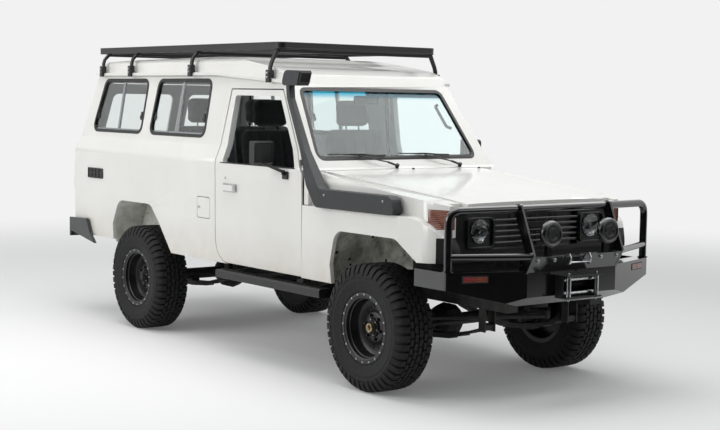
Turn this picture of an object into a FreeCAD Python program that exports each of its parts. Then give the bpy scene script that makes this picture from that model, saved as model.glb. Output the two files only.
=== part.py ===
import FreeCAD, Part
import math
import os
import Sketcher

# Lifted off-road 4x4 with a high roof, bull bar, snorkel and roof rack, in millimetres.
# Every piece is drawn from the front axle: x forward from that axle, y to the left of the
# centre line, z up from the ground. Each finished piece is then moved forward by front_axle_x,
# so that the origin of the whole lies on the ground at the middle of its overall length.

doc = FreeCAD.newDocument("off_road_4x4")
sheet = doc.addObject("Spreadsheet::Sheet", "Sizes")

DIMENSIONS = {
    # main places
    "wheelbase": 2980,
    "front_overhang": 1050,
    "rear_overhang": 1215,
    "running_gap": 5,
    "seat_gap": 0.3,
    # cross section of the body
    "sill_half": 835,
    "belt_half": 845,
    "shoulder_half": 805,
    "gutter_half": 722,
    "sill_height": 645,
    "belt_height": 1385,
    "shoulder_height": 1500,
    "gutter_height": 2008,
    "wall": 45,
    "skin": 12,
    "floor_height": 720,
    "floor_thickness": 25,
    "belt_round": 90,
    # side view of the body
    "cowl_x": -700,
    "cowl_height": 1370,
    "screen_foot_x": -719,
    "header_height": 1952,
    "brow_x": -1390,
    "brow_height": 1968,
    "high_roof_x": -2000,
    "rear_top_x": -3930,
    "rear_belt_x": -4142,
    "rear_waist_x": -4168,
    "rear_waist_height": 1116,
    "rear_foot_x": -4145,
    "rear_sill_height": 672,
    # windscreen and side windows
    "screen_low_height": 1432,
    "screen_high_height": 1926,
    "screen_low_half": 722,
    "screen_high_half": 642,
    "screen_corner": 55,
    "screen_slope": 0.714,
    "seal_width": 26,
    "window_low_height": 1542,
    "window_high_height": 1985,
    "mid_window_front_low": -2092,
    "mid_window_front_high": -2086,
    "mid_window_rear_low": -2951,
    "mid_window_rear_high": -2902,
    "rear_window_front_low": -3064,
    "rear_window_front_high": -3049,
    "rear_window_rear_low": -3925,
    "rear_window_rear_high": -3800,
    "window_corner": 70,
    "glass_inset": 12,
    "glass_thickness": 6,
    "seal_proud": 4,
    "seal_depth": 30,
    # front doors
    "door_front_x": -765,
    "door_rear_x": -1862,
    "door_foot_height": 652,
    "door_foot_round": 170,
    "door_front_top_height": 1345,
    "door_head_front_x": -1150,
    "door_head_rear_x": -1800,
    "door_head_height": 1905,
    "door_belt_height": 1372,
    "door_step": 15,
    "door_frame_width": 56,
    "door_sash_front": 75,
    "door_swing_room": 1.8,
    # rear doors
    "rear_door_half": 700,
    "rear_door_head_half": 640,
    "rear_door_foot_height": 850,
    "rear_door_head_height": 1945,
    "rear_door_split_y": 90,
    "rear_door_gap": 16,
    "rear_door_thickness": 32,
    "rear_door_corner": 60,
    "rear_glass_low_height": 1500,
    "rear_glass_high_height": 1860,
    # wheel arches
    "arch_top_height": 1000,
    "rear_arch_half": 470,
    "arch_round": 110,
    "liner": 20,
    "liner_wall_y": 560,
    # wings, nose and bonnet
    "wing_rear_x": -751,
    "wing_ledge_height": 1137,
    "wing_upper_half": 800,
    "wing_lower_half": 860,
    "wing_top_rear_height": 1362,
    "wing_top_front_height": 1232,
    "wing_front_x": 630,
    "flare_front_x": 690,
    "bay_half": 400,
    "bay_wall": 25,
    "bonnet_rear_x": -668,
    "bonnet_front_x": 628,
    "bonnet_rear_half": 700,
    "bonnet_front_half": 585,
    "bonnet_thickness": 28,
    "bonnet_gap": 6,
    "bonnet_crown": 8,
    "bonnet_edge_rise": 8,
    "cowl_gap": 22,
    "nose_thickness": 60,
    "nose_low_height": 872,
    "nose_half": 690,
    "lamp_y": 482,
    "lamp_height": 1060,
    "lamp_radius": 76,
    "bezel_half": 110,
    "bezel_low_height": 953,
    "bezel_high_height": 1145,
    "grille_slats": 5,
    # ladder frame
    "rail_y": 360,
    "rail_width": 90,
    "rail_low_height": 570,
    "rail_depth": 120,
    "rail_front_x": 800,
    "mount_radius": 36,
    # wheels and axles
    "wheel_radius": 410,
    "track": 1530,
    "tyre_width": 270,
    "tread_width": 216,
    "rim_radius": 206,
    "rim_flange": 226,
    "rim_width": 236,
    "hub_radius": 72,
    "spindle_radius": 28,
    "axle_tube_radius": 40,
    "axle_ball_radius": 78,
    "kingpin_y": 575,
    "knuckle_radius": 104,
    "diff_radius": 118,
    "front_diff_y": -200,
    "spring_span": 575,
    "spring_eye_height": 455,
    "spring_top_height": 356,
    "spring_thickness": 36,
    "spring_width": 70,
    "arm_length": 165,
    "tie_rod_height": 447,
    "link_radius": 15,
    "pitman_x": 360,
    "pitman_y": 207,
    # bull bar
    "bar_front_x": 944,
    "bar_half": 872,
    "bar_face_half": 382,
    "bar_corner_x": 775,
    "bar_tip_rear_x": 475,
    "pan_top_height": 842,
    "pan_face_low_height": 680,
    "pan_low_height": 620,
    "pan_lip_x": 856,
    "pan_tip_low_height": 735,
    "tube_radius": 22,
    "tube_bend": 80,
    "hoop_top_height": 1208,
    "hoop_low_height": 930,
    "hoop_top_x": 848,
    "upright_thickness": 16,
    "upright_width": 68,
    "knee_x": 1005,
    "knee_height": 940,
    "upright_top_x": 880,
    "cover_thickness": 8,
    "roller_y": 119,
    "roller_radius": 16,
    "driving_lamp_y": 246,
    "driving_lamp_height": 1064,
    "driving_lamp_radius": 81,
    # roof rack
    "rack_front_x": -1231,
    "rack_rear_x": -3979,
    "rack_half": 714,
    "rack_low_height": 2190,
    "rack_top_height": 2241,
    "rack_slats": 12,
    "rack_slat_width": 90,
    "rack_slat_thickness": 20,
    "rack_rail_width": 35,
    # hinges
    "hinge_pin_radius": 5,
    "pin_gap": 0.3,
    "door_hinge_x": -810,
    "door_hinge_y": 815,
    "door_hinge_low_height": 840,
    "door_hinge_high_height": 1240,
    "rear_hinge_x": -4185,
    "rear_hinge_y": 705,
    "rear_hinge_low_height": 940,
    "rear_hinge_high_height": 1400,
    "bonnet_hinge_x": -662,
    "bonnet_hinge_height": 1347,
    "bonnet_pin_radius": 4,
    "flap_hinge_x": -1949,
    # tyres
    "carcass_radius": 396,
    "lug_width": 56,
}


class Size:
    """A number together with the spreadsheet formula that gives it."""

    def __init__(self, value, formula):
        self.value = float(value)
        self.formula = formula

    def __add__(self, other):
        other = as_size(other)
        return Size(self.value + other.value, "(" + self.formula + " + " + other.formula + ")")

    def __radd__(self, other):
        return as_size(other) + self

    def __sub__(self, other):
        other = as_size(other)
        return Size(self.value - other.value, "(" + self.formula + " - " + other.formula + ")")

    def __rsub__(self, other):
        return as_size(other) - self

    def __mul__(self, other):
        other = as_size(other)
        return Size(self.value * other.value, "(" + self.formula + " * " + other.formula + ")")

    def __rmul__(self, other):
        return as_size(other) * self

    def __truediv__(self, other):
        other = as_size(other)
        return Size(self.value / other.value, "(" + self.formula + " / " + other.formula + ")")

    def __neg__(self):
        return Size(-self.value, "(0 - " + self.formula + ")")


def as_size(number):
    if isinstance(number, Size):
        return number
    return Size(number, "(" + format(float(number), "f") + ")")


class Sizes:
    """The driving dimensions, read back from the spreadsheet by name."""


d = Sizes()
for cell_row, cell_name in enumerate(DIMENSIONS, start=1):
    sheet.set("A" + str(cell_row), cell_name)
    sheet.set("B" + str(cell_row), str(DIMENSIONS[cell_name]))
    sheet.setAlias("B" + str(cell_row), cell_name)
    setattr(d, cell_name, Size(DIMENSIONS[cell_name], "Sizes." + cell_name))

front_axle_x = (d.wheelbase + d.rear_overhang - d.front_overhang) / 2
rear_axle_x = -d.wheelbase


def bind(item, prop, size):
    """Give a property the formula of a size."""
    item.setExpression(prop, as_size(size).formula)


def rounded_corner(before, here, after, radius):
    """The start, middle and end of the arc that rounds a corner of an outline."""
    back = FreeCAD.Vector(before[0] - here[0], before[1] - here[1], 0).normalize()
    ahead = FreeCAD.Vector(after[0] - here[0], after[1] - here[1], 0).normalize()
    half = back.getAngle(ahead) / 2
    reach = radius / math.tan(half)
    inward = (back + ahead).normalize()
    corner = FreeCAD.Vector(here[0], here[1], 0)
    centre = corner + inward * (radius / math.sin(half))
    return corner + back * reach, centre - inward * radius, corner + ahead * reach


def cut_small_rounds(points):
    """Draw each small round corner as a few flats, so that only the larger rounds are arcs."""
    outline = []
    for i, point in enumerate(points):
        if len(point) < 3 or as_size(point[2]).value > 75:
            outline.append(point)
            continue
        here = [as_size(size).value for size in point[:2]]
        before, after = [[as_size(size).value for size in other[:2]] for other in (points[i - 1], points[(i + 1) % len(points)])]
        back = FreeCAD.Vector(before[0] - here[0], before[1] - here[1], 0).normalize()
        ahead = FreeCAD.Vector(after[0] - here[0], after[1] - here[1], 0).normalize()
        half = back.getAngle(ahead) / 2
        centre = (back + ahead).normalize() / math.sin(half)
        first = back / math.tan(half) - centre
        sweep = FreeCAD.Rotation(first, ahead / math.tan(half) - centre)
        flats = 4 if as_size(point[2]).value > 45 else 3
        for step in range(flats + 1):
            spot = centre + FreeCAD.Rotation(sweep.Axis, math.degrees(sweep.Angle) * step / flats).multVec(first)
            outline.append((point[0] + as_size(point[2]) * round(spot.x, 6), point[1] + as_size(point[2]) * round(spot.y, 6)))
    return outline


def draw(sketch, points):
    """Draw a closed outline. A point is (x, y), or (x, y, radius) where its corner is round."""
    points = cut_small_rounds(points)
    corners = [(as_size(point[0]), as_size(point[1])) for point in points]
    radii = [as_size(point[2]) if len(point) > 2 else None for point in points]
    places = [(corner[0].value, corner[1].value) for corner in corners]
    count = len(points)
    rounds = []
    for i in range(count):
        if radii[i] is None:
            spot = FreeCAD.Vector(places[i][0], places[i][1], 0)
            rounds.append((spot, None, spot))
        else:
            rounds.append(rounded_corner(places[i - 1], places[i], places[(i + 1) % count], radii[i].value))
    lines = []
    for i in range(count):
        run = Part.LineSegment(rounds[i][2], rounds[(i + 1) % count][0])
        lines.append(sketch.addGeometry(run, False))
    for i in range(count):
        x, y = corners[i]
        if radii[i] is None:
            sketch.addConstraint(Sketcher.Constraint("Coincident", lines[i - 1], 2, lines[i], 1))
            fixed = lines[i]
        else:
            start, middle, end = rounds[i]
            turns_left = (middle - start).cross(end - middle).z > 0
            curve = Part.Arc(start, middle, end) if turns_left else Part.Arc(end, middle, start)
            arc = sketch.addGeometry(curve, False)
            first = 1 if sketch.Geometry[arc].StartPoint.distanceToPoint(start) < 1e-4 else 2
            sketch.addConstraint(Sketcher.Constraint("Tangent", lines[i - 1], 2, arc, first))
            sketch.addConstraint(Sketcher.Constraint("Tangent", lines[i], 1, arc, 3 - first))
            rule = sketch.addConstraint(Sketcher.Constraint("Radius", arc, radii[i].value))
            sketch.setExpression("Constraints[" + str(rule) + "]", radii[i].formula)
            fixed = sketch.addGeometry(Part.Point(FreeCAD.Vector(x.value, y.value, 0)), True)
            sketch.addConstraint(Sketcher.Constraint("PointOnObject", fixed, 1, lines[i - 1]))
            sketch.addConstraint(Sketcher.Constraint("PointOnObject", fixed, 1, lines[i]))
        for kind, size in (("DistanceX", x), ("DistanceY", y)):
            rule = sketch.addConstraint(Sketcher.Constraint(kind, -1, 1, fixed, 1, size.value))
            sketch.setExpression("Constraints[" + str(rule) + "]", size.formula)


def new_body(name, plane, points, offset):
    """A body with one sketch of the outline, on the named origin plane and moved along its normal."""
    body = doc.addObject("PartDesign::Body", name)
    sketch = body.newObject("Sketcher::SketchObject", name + "_outline")
    support = [item for item in body.Origin.OriginFeatures if item.Role == plane][0]
    sketch.AttachmentSupport = [(support, "")]
    sketch.MapMode = "FlatFace"
    bind(sketch, "AttachmentOffset.Base.z", offset)
    draw(sketch, points)
    return body, sketch


def pad(name, plane, points, low, high):
    """An outline made solid from one station to another along the plane's axis."""
    low = as_size(low)
    high = as_size(high)
    offset = -high if plane == "XZ_Plane" else low
    body, sketch = new_body(name, plane, points, offset)
    feature = body.newObject("PartDesign::Pad", name + "_pad")
    feature.Profile = sketch
    bind(feature, "Length", high - low)
    sketch.Visibility = False
    return body


def side_view(name, points, low, high):
    """An outline drawn from the side, in x and z, made solid from y low to y high."""
    return pad(name, "XZ_Plane", points, low, high)


def end_view(name, points, low, high):
    """An outline drawn from the end, in y and z, made solid from x low to x high."""
    return pad(name, "YZ_Plane", points, low, high)


def plan_view(name, points, low, high):
    """An outline drawn from above, in x and y, made solid from z low to z high."""
    return pad(name, "XY_Plane", points, low, high)


def turned(name, points):
    """A half section in y and radius, turned about the y axis."""
    body, sketch = new_body(name, "YZ_Plane", points, 0)
    feature = body.newObject("PartDesign::Revolution", name + "_turning")
    feature.Profile = sketch
    feature.ReferenceAxis = (sketch, ["H_Axis"])
    feature.Angle = 360
    sketch.Visibility = False
    return body


def block(name, x_range, y_range, z_range):
    """A box from its low to its high corner."""
    item = doc.addObject("Part::Box", name)
    for prop, span in (("Length", x_range), ("Width", y_range), ("Height", z_range)):
        bind(item, prop, as_size(span[1]) - span[0])
    for axis, span in (("x", x_range), ("y", y_range), ("z", z_range)):
        bind(item, "Placement.Base." + axis, span[0])
    return item


def round_bar(name, axis, centre, radius, low, high, sides=0):
    """A bar along x, y or z, round or with flat sides: centre holds its other two coordinates in order."""
    item = doc.addObject("Part::Prism" if sides else "Part::Cylinder", name)
    if sides:
        item.Polygon = sides
    bind(item, "Circumradius" if sides else "Radius", radius)
    bind(item, "Height", as_size(high) - low)
    turns = {
        "x": FreeCAD.Rotation(FreeCAD.Vector(0, 1, 0), 90),
        "y": FreeCAD.Rotation(FreeCAD.Vector(1, 0, 0), -90),
        "z": FreeCAD.Rotation(),
    }
    item.Placement = FreeCAD.Placement(FreeCAD.Vector(0, 0, 0), turns[axis])
    others = [letter for letter in "xyz" if letter != axis]
    bind(item, "Placement.Base." + axis, low)
    bind(item, "Placement.Base." + others[0], centre[0])
    bind(item, "Placement.Base." + others[1], centre[1])
    return item


def vector(point):
    """A point of sizes as plain coordinates."""
    return FreeCAD.Vector(*[as_size(size).value for size in point])


def solid(name, shape):
    """A piece whose shape is worked out from the sizes directly."""
    item = doc.addObject("Part::Feature", name)
    item.Shape = shape
    return item


def closed_shape(faces):
    """A solid from the flat faces that close it, with its faces turned outward."""
    item = Part.Solid(Part.Shell(faces))
    if item.Volume < 0:
        item.reverse()
    return item


def flat_face(points):
    """A flat face through points, of which neighbours in one place count once."""
    kept = []
    for point in points:
        if not kept or point.distanceToPoint(kept[-1]) > 1e-6:
            kept.append(point)
    if kept[0].distanceToPoint(kept[-1]) < 1e-6:
        kept.pop()
    return Part.Face(Part.makePolygon(kept + kept[:1]))


def turned_facets(points, sides):
    """A closed half section in y and radius, turned about the y axis in flat facets."""
    rings = []
    for station, radius in points:
        reach = as_size(radius).value
        turns = [(number + 0.5) * 2 * math.pi / sides for number in range(sides)]
        rings.append([FreeCAD.Vector(reach * math.sin(a), as_size(station).value, reach * math.cos(a)) for a in turns])
    faces = []
    for i, (station, radius) in enumerate(points):
        following = (i + 1) % len(points)
        if as_size(radius).value + as_size(points[following][1]).value < 1e-6:
            continue
        here = rings[i]
        there = rings[following]
        for k in range(sides):
            along = (k + 1) % sides
            faces.append(flat_face([here[k], here[along], there[along], there[k]]))
    return closed_shape(faces)


def ball_shape(centre, radius, sides=12, bands=6):
    """A ball in flat facets."""
    steps = [math.pi * number / bands for number in range(bands + 1)]
    item = turned_facets([(-radius * math.cos(a), radius * math.sin(a)) for a in steps], sides)
    item.translate(vector(centre))
    return item


def tube_shape(route, radius, bend=0, sides=12):
    """A round tube in flat facets along straight runs, with each corner bent in three steps."""
    points = [vector(point) for point in route]
    spine = [points[0]]
    for before, here, after in zip(points, points[1:], points[2:]):
        back = (before - here).normalize()
        ahead = (after - here).normalize()
        half = back.getAngle(ahead) / 2
        inward = (back + ahead).normalize()
        reach = as_size(bend).value
        centre = here + inward * (reach / math.sin(half))
        first = here + back * (reach / math.tan(half)) - centre
        turn = FreeCAD.Rotation(first, here + ahead * (reach / math.tan(half)) - centre)
        for step in range(4):
            spine.append(centre + FreeCAD.Rotation(turn.Axis, math.degrees(turn.Angle) * step / 3).multVec(first))
    spine.append(points[-1])
    run = (spine[1] - spine[0]).normalize()
    across = run.cross(FreeCAD.Vector(0, 0, 1) if abs(run.z) < 0.9 else FreeCAD.Vector(1, 0, 0)).normalize()
    upright = run.cross(across)
    reach = as_size(radius).value
    ring = []
    for number in range(sides):
        turn = (number + 0.5) * 2 * math.pi / sides
        ring.append(spine[0] + across * (reach * math.cos(turn)) + upright * (reach * math.sin(turn)))
    faces = [flat_face(ring)]
    for i in range(1, len(spine)):
        run = (spine[i] - spine[i - 1]).normalize()
        ahead = (spine[i + 1] - spine[i]).normalize() if i + 1 < len(spine) else run
        mitre = (run + ahead).normalize()
        following = [point + run * ((spine[i] - point).dot(mitre) / run.dot(mitre)) for point in ring]
        for k in range(sides):
            along = (k + 1) % sides
            faces.append(flat_face([ring[k], ring[along], following[along], following[k]]))
        ring = following
    faces.append(flat_face(ring))
    return closed_shape(faces)


def fuse(name, pieces):
    item = doc.addObject("Part::MultiFuse", name)
    item.Shapes = pieces
    return item


def common(name, pieces):
    item = doc.addObject("Part::MultiCommon", name)
    item.Shapes = pieces
    return item


def cut(name, base, tool):
    item = doc.addObject("Part::Cut", name)
    item.Base = base
    item.Tool = tool
    return item


def mirrored(name, source):
    """The same piece on the other side of the centre line."""
    item = doc.addObject("Part::Mirroring", name)
    item.Source = source
    item.Base = FreeCAD.Vector(0, 0, 0)
    item.Normal = FreeCAD.Vector(0, 1, 0)
    return item


def same(name, source):
    """The finished form of a piece whose drawing also serves the other side."""
    item = doc.addObject("Part::Refine", name)
    item.Source = source
    return item


def group(name, pieces):
    """Like pieces that don't touch, kept as separate solids of one sub-part."""
    item = doc.addObject("Part::Compound", name)
    item.Links = pieces
    return item


sub_parts = []


def sub_part(label, item, x=0, y=0, z=0, turn=0):
    """Name a finished piece, place it and note it for writing."""
    item.Label = label
    item.Placement = FreeCAD.Placement(FreeCAD.Vector(0, 0, 0), FreeCAD.Rotation(turn, 0, 0))
    bind(item, "Placement.Base.x", front_axle_x + x)
    bind(item, "Placement.Base.y", y)
    bind(item, "Placement.Base.z", z)
    sub_parts.append(item)


# Cross section of the body. The sides stand upright to the belt, round over a shoulder and
# lean in to the gutter. A positive inset moves the sides inward.
def body_half(inset):
    """The right-hand half of the section as (half width, height) pairs, from sill to gutter."""
    return [
        (d.sill_half - inset, d.sill_height),
        (d.belt_half - inset, d.belt_height),
        (d.shoulder_half - inset, d.shoulder_height),
        (d.gutter_half - inset, d.gutter_height),
    ]


def full_section(inset, low):
    """The whole cross section at an inset, cut level at the height low."""
    half = body_half(inset)
    half[0] = (half[0][0], low)
    half[1] = (half[1][0], half[1][1], d.belt_round)
    left = half
    right = [(-point[0],) + tuple(point[1:]) for point in reversed(half)]
    return left + right


def side_strip(outer_inset, inner_inset):
    """The right-hand wall of the section between two insets, as a closed outline."""
    outer = body_half(outer_inset)
    inner = body_half(inner_inset)
    outer[1] = (outer[1][0], outer[1][1], d.belt_round)
    inner[1] = (inner[1][0], inner[1][1], d.belt_round)
    points = outer + list(reversed(inner))
    return [(-point[0],) + tuple(point[1:]) for point in points]


half_reach = 1000
rear_station = -4400
front_station = -560


def screen_x(height, inset=0):
    """Where the leaning windscreen frame stands at a height, moved back by an inset."""
    return d.screen_foot_x - (as_size(height) - d.belt_height) * d.screen_slope - inset


def body_profile(inset, low):
    """The body from the side, between the cowl and the rear face, moved in by an inset."""
    return [
        (d.cowl_x - inset, low),
        (d.cowl_x - inset, d.cowl_height),
        (screen_x(d.belt_height, inset), d.belt_height),
        (screen_x(d.header_height, inset), d.header_height),
        (d.brow_x, d.brow_height),
        (d.high_roof_x, d.gutter_height),
        (d.rear_top_x + inset, d.gutter_height),
        (d.rear_belt_x + inset, d.belt_height),
        (d.rear_waist_x + inset, d.rear_waist_height),
        (d.rear_foot_x + inset, low),
    ]


# Body shell: sides, floor, firewall and rear frame, one wall thick, open above for the roof.
outer_form = common("shell_outer", [
    end_view("shell_section", full_section(0, d.sill_height), rear_station, front_station),
    side_view("shell_profile", body_profile(0, d.sill_height), -half_reach, half_reach),
])
floor_top = d.floor_height + d.floor_thickness
cabin_top = d.gutter_height + 60
inner_profile = body_profile(d.wall, floor_top)
inner_profile[3] = (screen_x(cabin_top, d.wall), cabin_top)
inner_profile[4] = (d.brow_x, cabin_top)
inner_profile[5] = (d.high_roof_x, cabin_top)
inner_profile[6] = (d.rear_top_x + d.wall + 30, cabin_top)
inner_half = body_half(d.wall)
lean = (d.shoulder_half - d.gutter_half) / (d.gutter_height - d.shoulder_height)
inner_half[3] = (inner_half[3][0] - lean * 60, cabin_top)
inner_half[0] = (inner_half[0][0], floor_top)
inner_half[1] = (inner_half[1][0], inner_half[1][1], d.belt_round)
inner_section = inner_half + [(-point[0],) + tuple(point[1:]) for point in reversed(inner_half)]
inner_form = common("shell_inner", [
    end_view("cabin_section", inner_section, rear_station, front_station),
    side_view("cabin_profile", inner_profile, -half_reach, half_reach),
])
sill_inner_half = d.sill_half - 60
under_floor = block("under_floor", (rear_station, front_station),
                    (-sill_inner_half, sill_inner_half), (500, d.floor_height))
rear_underside = block("rear_underside", (rear_station, rear_axle_x),
                       (-half_reach, half_reach), (500, d.rear_sill_height))


def arch_outline(grow):
    """The rear wheel arch from the side, grown outward by a margin."""
    centre = rear_axle_x
    return [
        (centre - d.rear_arch_half - grow, 500),
        (centre - d.rear_arch_half - 20 - grow, 800),
        (centre - d.rear_arch_half + 85 - grow, d.arch_top_height + grow, d.arch_round + grow),
        (centre + d.rear_arch_half - 330 + grow, d.arch_top_height + grow, d.arch_round + grow),
        (centre + d.rear_arch_half - 190 + grow, 860),
        (centre + d.rear_arch_half + 120 + grow, 500),
    ]


wheel_wells = fuse("wheel_wells", [
    side_view("well_right", arch_outline(d.liner), -d.shoulder_half, -(d.liner_wall_y - d.liner)),
    side_view("well_left", arch_outline(d.liner), d.liner_wall_y - d.liner, d.shoulder_half),
])
well_floor_trim = block("well_trim", (rear_station, front_station), (-half_reach, half_reach), (400, 645))
arch_cuts = fuse("arch_cuts", [
    side_view("arch_right", arch_outline(0), -half_reach, -d.liner_wall_y),
    side_view("arch_left", arch_outline(0), d.liner_wall_y, half_reach),
])


def window_outline(front_low, front_high, rear_low, rear_high, shrink):
    """A side window from the side. The shrink moves its four edges inward."""
    corner = d.window_corner - shrink
    return [
        (rear_low + shrink, d.window_low_height + shrink, corner),
        (front_low - shrink, d.window_low_height + shrink, corner),
        (front_high - shrink, d.window_high_height - shrink, corner),
        (rear_high + shrink, d.window_high_height - shrink, corner),
    ]


def mid_window(shrink):
    return window_outline(d.mid_window_front_low, d.mid_window_front_high,
                          d.mid_window_rear_low, d.mid_window_rear_high, as_size(shrink))


def rear_window(shrink):
    return window_outline(d.rear_window_front_low, d.rear_window_front_high,
                          d.rear_window_rear_low, d.rear_window_rear_high, as_size(shrink))


def screen_outline(shrink):
    """The windscreen from the front. The shrink moves its four edges inward."""
    corner = d.screen_corner - shrink
    low = d.screen_low_height + shrink
    high = d.screen_high_height - shrink
    low_half = d.screen_low_half - shrink
    high_half = d.screen_high_half - shrink
    return [(-low_half, low, corner), (low_half, low, corner), (high_half, high, corner), (-high_half, high, corner)]


def front_door_outline(grow, step=0):
    """The front door from the side. A grow moves its edges outward, a step moves them inward."""
    edge = as_size(grow) - step
    return [
        (d.door_front_x + edge, d.door_foot_height - edge),
        (d.door_front_x + edge, d.door_front_top_height + edge * 0.3),
        (d.door_head_front_x + edge, d.door_head_height + edge),
        (d.door_head_rear_x - edge * d.door_swing_room, d.door_head_height + edge),
        (d.door_rear_x - edge, d.door_belt_height),
        (d.door_rear_x - edge, d.door_foot_height - edge, d.door_foot_round + grow),
    ]


def rear_door_opening(grow):
    """The rear door opening from behind, grown outward by a margin."""
    grow = as_size(grow)
    foot = d.rear_door_foot_height - grow
    head = d.rear_door_head_height + grow
    half = d.rear_door_half + grow
    head_half = d.rear_door_head_half + grow
    corner = d.rear_door_corner + grow
    return [(-half, foot, corner), (half, foot, corner), (half, d.belt_height),
            (head_half, head, corner), (-head_half, head, corner), (-half, d.belt_height)]


rear_wall_x = d.rear_top_x + d.wall + 60
flap_front_x = as_size(-1945)
flap_rear_x = as_size(-2120)
flap_low_height = as_size(956)
flap_high_height = as_size(1107)
flap_thickness = as_size(12)


def flap_outline(grow):
    corner = as_size(16) - grow
    return [(flap_rear_x - grow, flap_low_height - grow, corner), (flap_front_x + grow, flap_low_height - grow, corner),
            (flap_front_x + grow, flap_high_height + grow, corner), (flap_rear_x - grow, flap_high_height + grow, corner)]


door_gap = d.running_gap + 3
hinge_room_span = (d.door_foot_height, d.door_front_top_height + 15)
# The foot of the sash swings through the pillar's outer corner, which is cut back for it.
sash_room_x = (d.door_hinge_x - 12, d.door_hinge_x + 47)
sash_room_span = (1354, 1438)
shell_cuts = fuse("shell_cuts", [
    arch_cuts,
    side_view("mid_window_cut", mid_window(0), -half_reach, half_reach),
    side_view("rear_window_cut", rear_window(0), -half_reach, half_reach),
    side_view("door_cut_right", front_door_outline(door_gap), -half_reach, -(d.gutter_half - 95)),
    side_view("door_cut_left", front_door_outline(door_gap), d.gutter_half - 95, half_reach),
    end_view("screen_cut", screen_outline(0), d.brow_x, front_station),
    end_view("rear_door_cut", rear_door_opening(d.running_gap), rear_station, rear_wall_x),
    block("wing_room_right", (d.door_front_x - 8, front_station), (-half_reach, -(d.sill_half - 25)), (500, d.cowl_height)),
    block("wing_room_left", (d.door_front_x - 8, front_station), (d.sill_half - 25, half_reach), (500, d.cowl_height)),
    side_view("flap_pocket", flap_outline(d.running_gap), -half_reach, -(d.belt_half - 26)),
    block("hinge_room_right", (d.door_front_x - 5, d.wing_rear_x + 3), (-(d.sill_half - 5), -(d.sill_half - 55)), hinge_room_span),
    block("hinge_room_left", (d.door_front_x - 5, d.wing_rear_x + 3), (d.sill_half - 55, d.sill_half - 5), hinge_room_span),
    block("sash_room_right", sash_room_x, (-half_reach, -(d.door_hinge_y - 20)), sash_room_span),
    block("sash_room_left", sash_room_x, (d.door_hinge_y - 20, half_reach), sash_room_span),
])
shell_walls = cut("shell_walls", cut("shell_open_below", cut("shell_hollow", outer_form, inner_form), under_floor), rear_underside)
shell_with_wells = fuse("shell_with_wells", [shell_walls, cut("wells_trimmed", wheel_wells, well_floor_trim)])


def door_hinge_heights():
    return (("low", d.door_hinge_low_height), ("high", d.door_hinge_high_height))


def rear_hinge_heights():
    return (("low", d.rear_hinge_low_height), ("high", d.rear_hinge_high_height))


def rear_face_x(height):
    """Where the rear face stands at a height: it leans back to the waist and forward above it."""
    height = as_size(height)
    if height.value < d.rear_waist_height.value:
        slope = (d.rear_waist_x - d.rear_foot_x) / (d.rear_waist_height - d.rear_sill_height)
        return d.rear_foot_x + (height - d.rear_sill_height) * slope
    slope = (d.rear_belt_x - d.rear_waist_x) / (d.belt_height - d.rear_waist_height)
    return d.rear_waist_x + (height - d.rear_waist_height) * slope


# Hinge halves on the body. A front door hangs on two goosenecks that reach round its front edge from
# the firewall; a rear door on two leaves that stand off the rear face.
leaf_thickness = as_size(10)
leaf_height = as_size(26)
pin_reach = as_size(29)
pin_hole_radius = (d.hinge_pin_radius + d.pin_gap) / math.cos(math.pi / 12)
gooseneck_y = d.door_hinge_y - 46
pin_sides = {"low": 12, "high": 0}
hinge_pieces = []
for name, height in door_hinge_heights():
    neck = plan_view("gooseneck_" + name, [
        (d.door_hinge_x - 6, -d.door_hinge_y), (d.door_hinge_x - 6, -(gooseneck_y - 5)), (d.cowl_x - d.wall + 1, -(gooseneck_y - 5)),
        (d.cowl_x - d.wall + 1, -(gooseneck_y + 5)), (d.door_hinge_x + 6, -(gooseneck_y + 5)), (d.door_hinge_x + 6, -d.door_hinge_y)],
        height, height + leaf_height)
    pin = round_bar("door_pin_" + name, "z", (d.door_hinge_x, -d.door_hinge_y), d.hinge_pin_radius, height - pin_reach, height + leaf_height,
                    pin_sides[name])
    hinge_pieces += [neck, pin]
for name, height in rear_hinge_heights():
    face = rear_face_x(height)
    leaf = plan_view("rear_leaf_" + name, [
        (d.rear_hinge_x - 6, -(d.rear_hinge_y - 2)), (d.rear_hinge_x + 6, -(d.rear_hinge_y - 2)), (d.rear_hinge_x + 6, -(d.rear_hinge_y + 7)),
        (face + 4, -(d.rear_hinge_y + 11)), (face + 4, -(d.rear_hinge_y + 40)), (face - leaf_thickness, -(d.rear_hinge_y + 40)),
        (d.rear_hinge_x - 6, -(d.rear_hinge_y + 10))], height + 1, height + leaf_height)
    pin = round_bar("rear_pin_" + name, "z", (d.rear_hinge_x, -d.rear_hinge_y), d.hinge_pin_radius, height - pin_reach, height + leaf_height,
                    pin_sides[name])
    hinge_pieces += [leaf, pin]
right_hinges = fuse("right_hinges", hinge_pieces)
flap_pin = round_bar("flap_pin", "z", (d.flap_hinge_x, -(d.belt_half - 9)), as_size(2.5),
                     flap_low_height - d.running_gap - 4, flap_high_height + d.running_gap + 4)
shell_panels = cut("shell_panels", shell_with_wells, shell_cuts)
sub_part("body_shell", fuse("body_shell", [shell_panels, right_hinges, mirrored("left_hinges", right_hinges), flap_pin]))

# Roof: a raised shell on the gutter line, sloping down over the windscreen.
roof_wall = as_size(24)
roof_profile = [
    (screen_x(d.header_height), d.header_height + d.seat_gap),
    (screen_x(d.header_height) - 40, d.header_height + 66, 40),
    (-1290, 2062, 120),
    (-1860, 2146, 500),
    (-2500, 2160, 900),
    (-3400, 2138, 900),
    (d.rear_top_x + 95, 2118, 120),
    (d.rear_top_x, 2050, 60),
    (d.rear_top_x, d.gutter_height + d.seat_gap),
    (d.high_roof_x, d.gutter_height + d.seat_gap),
    (d.brow_x, d.brow_height + d.seat_gap),
]


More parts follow.
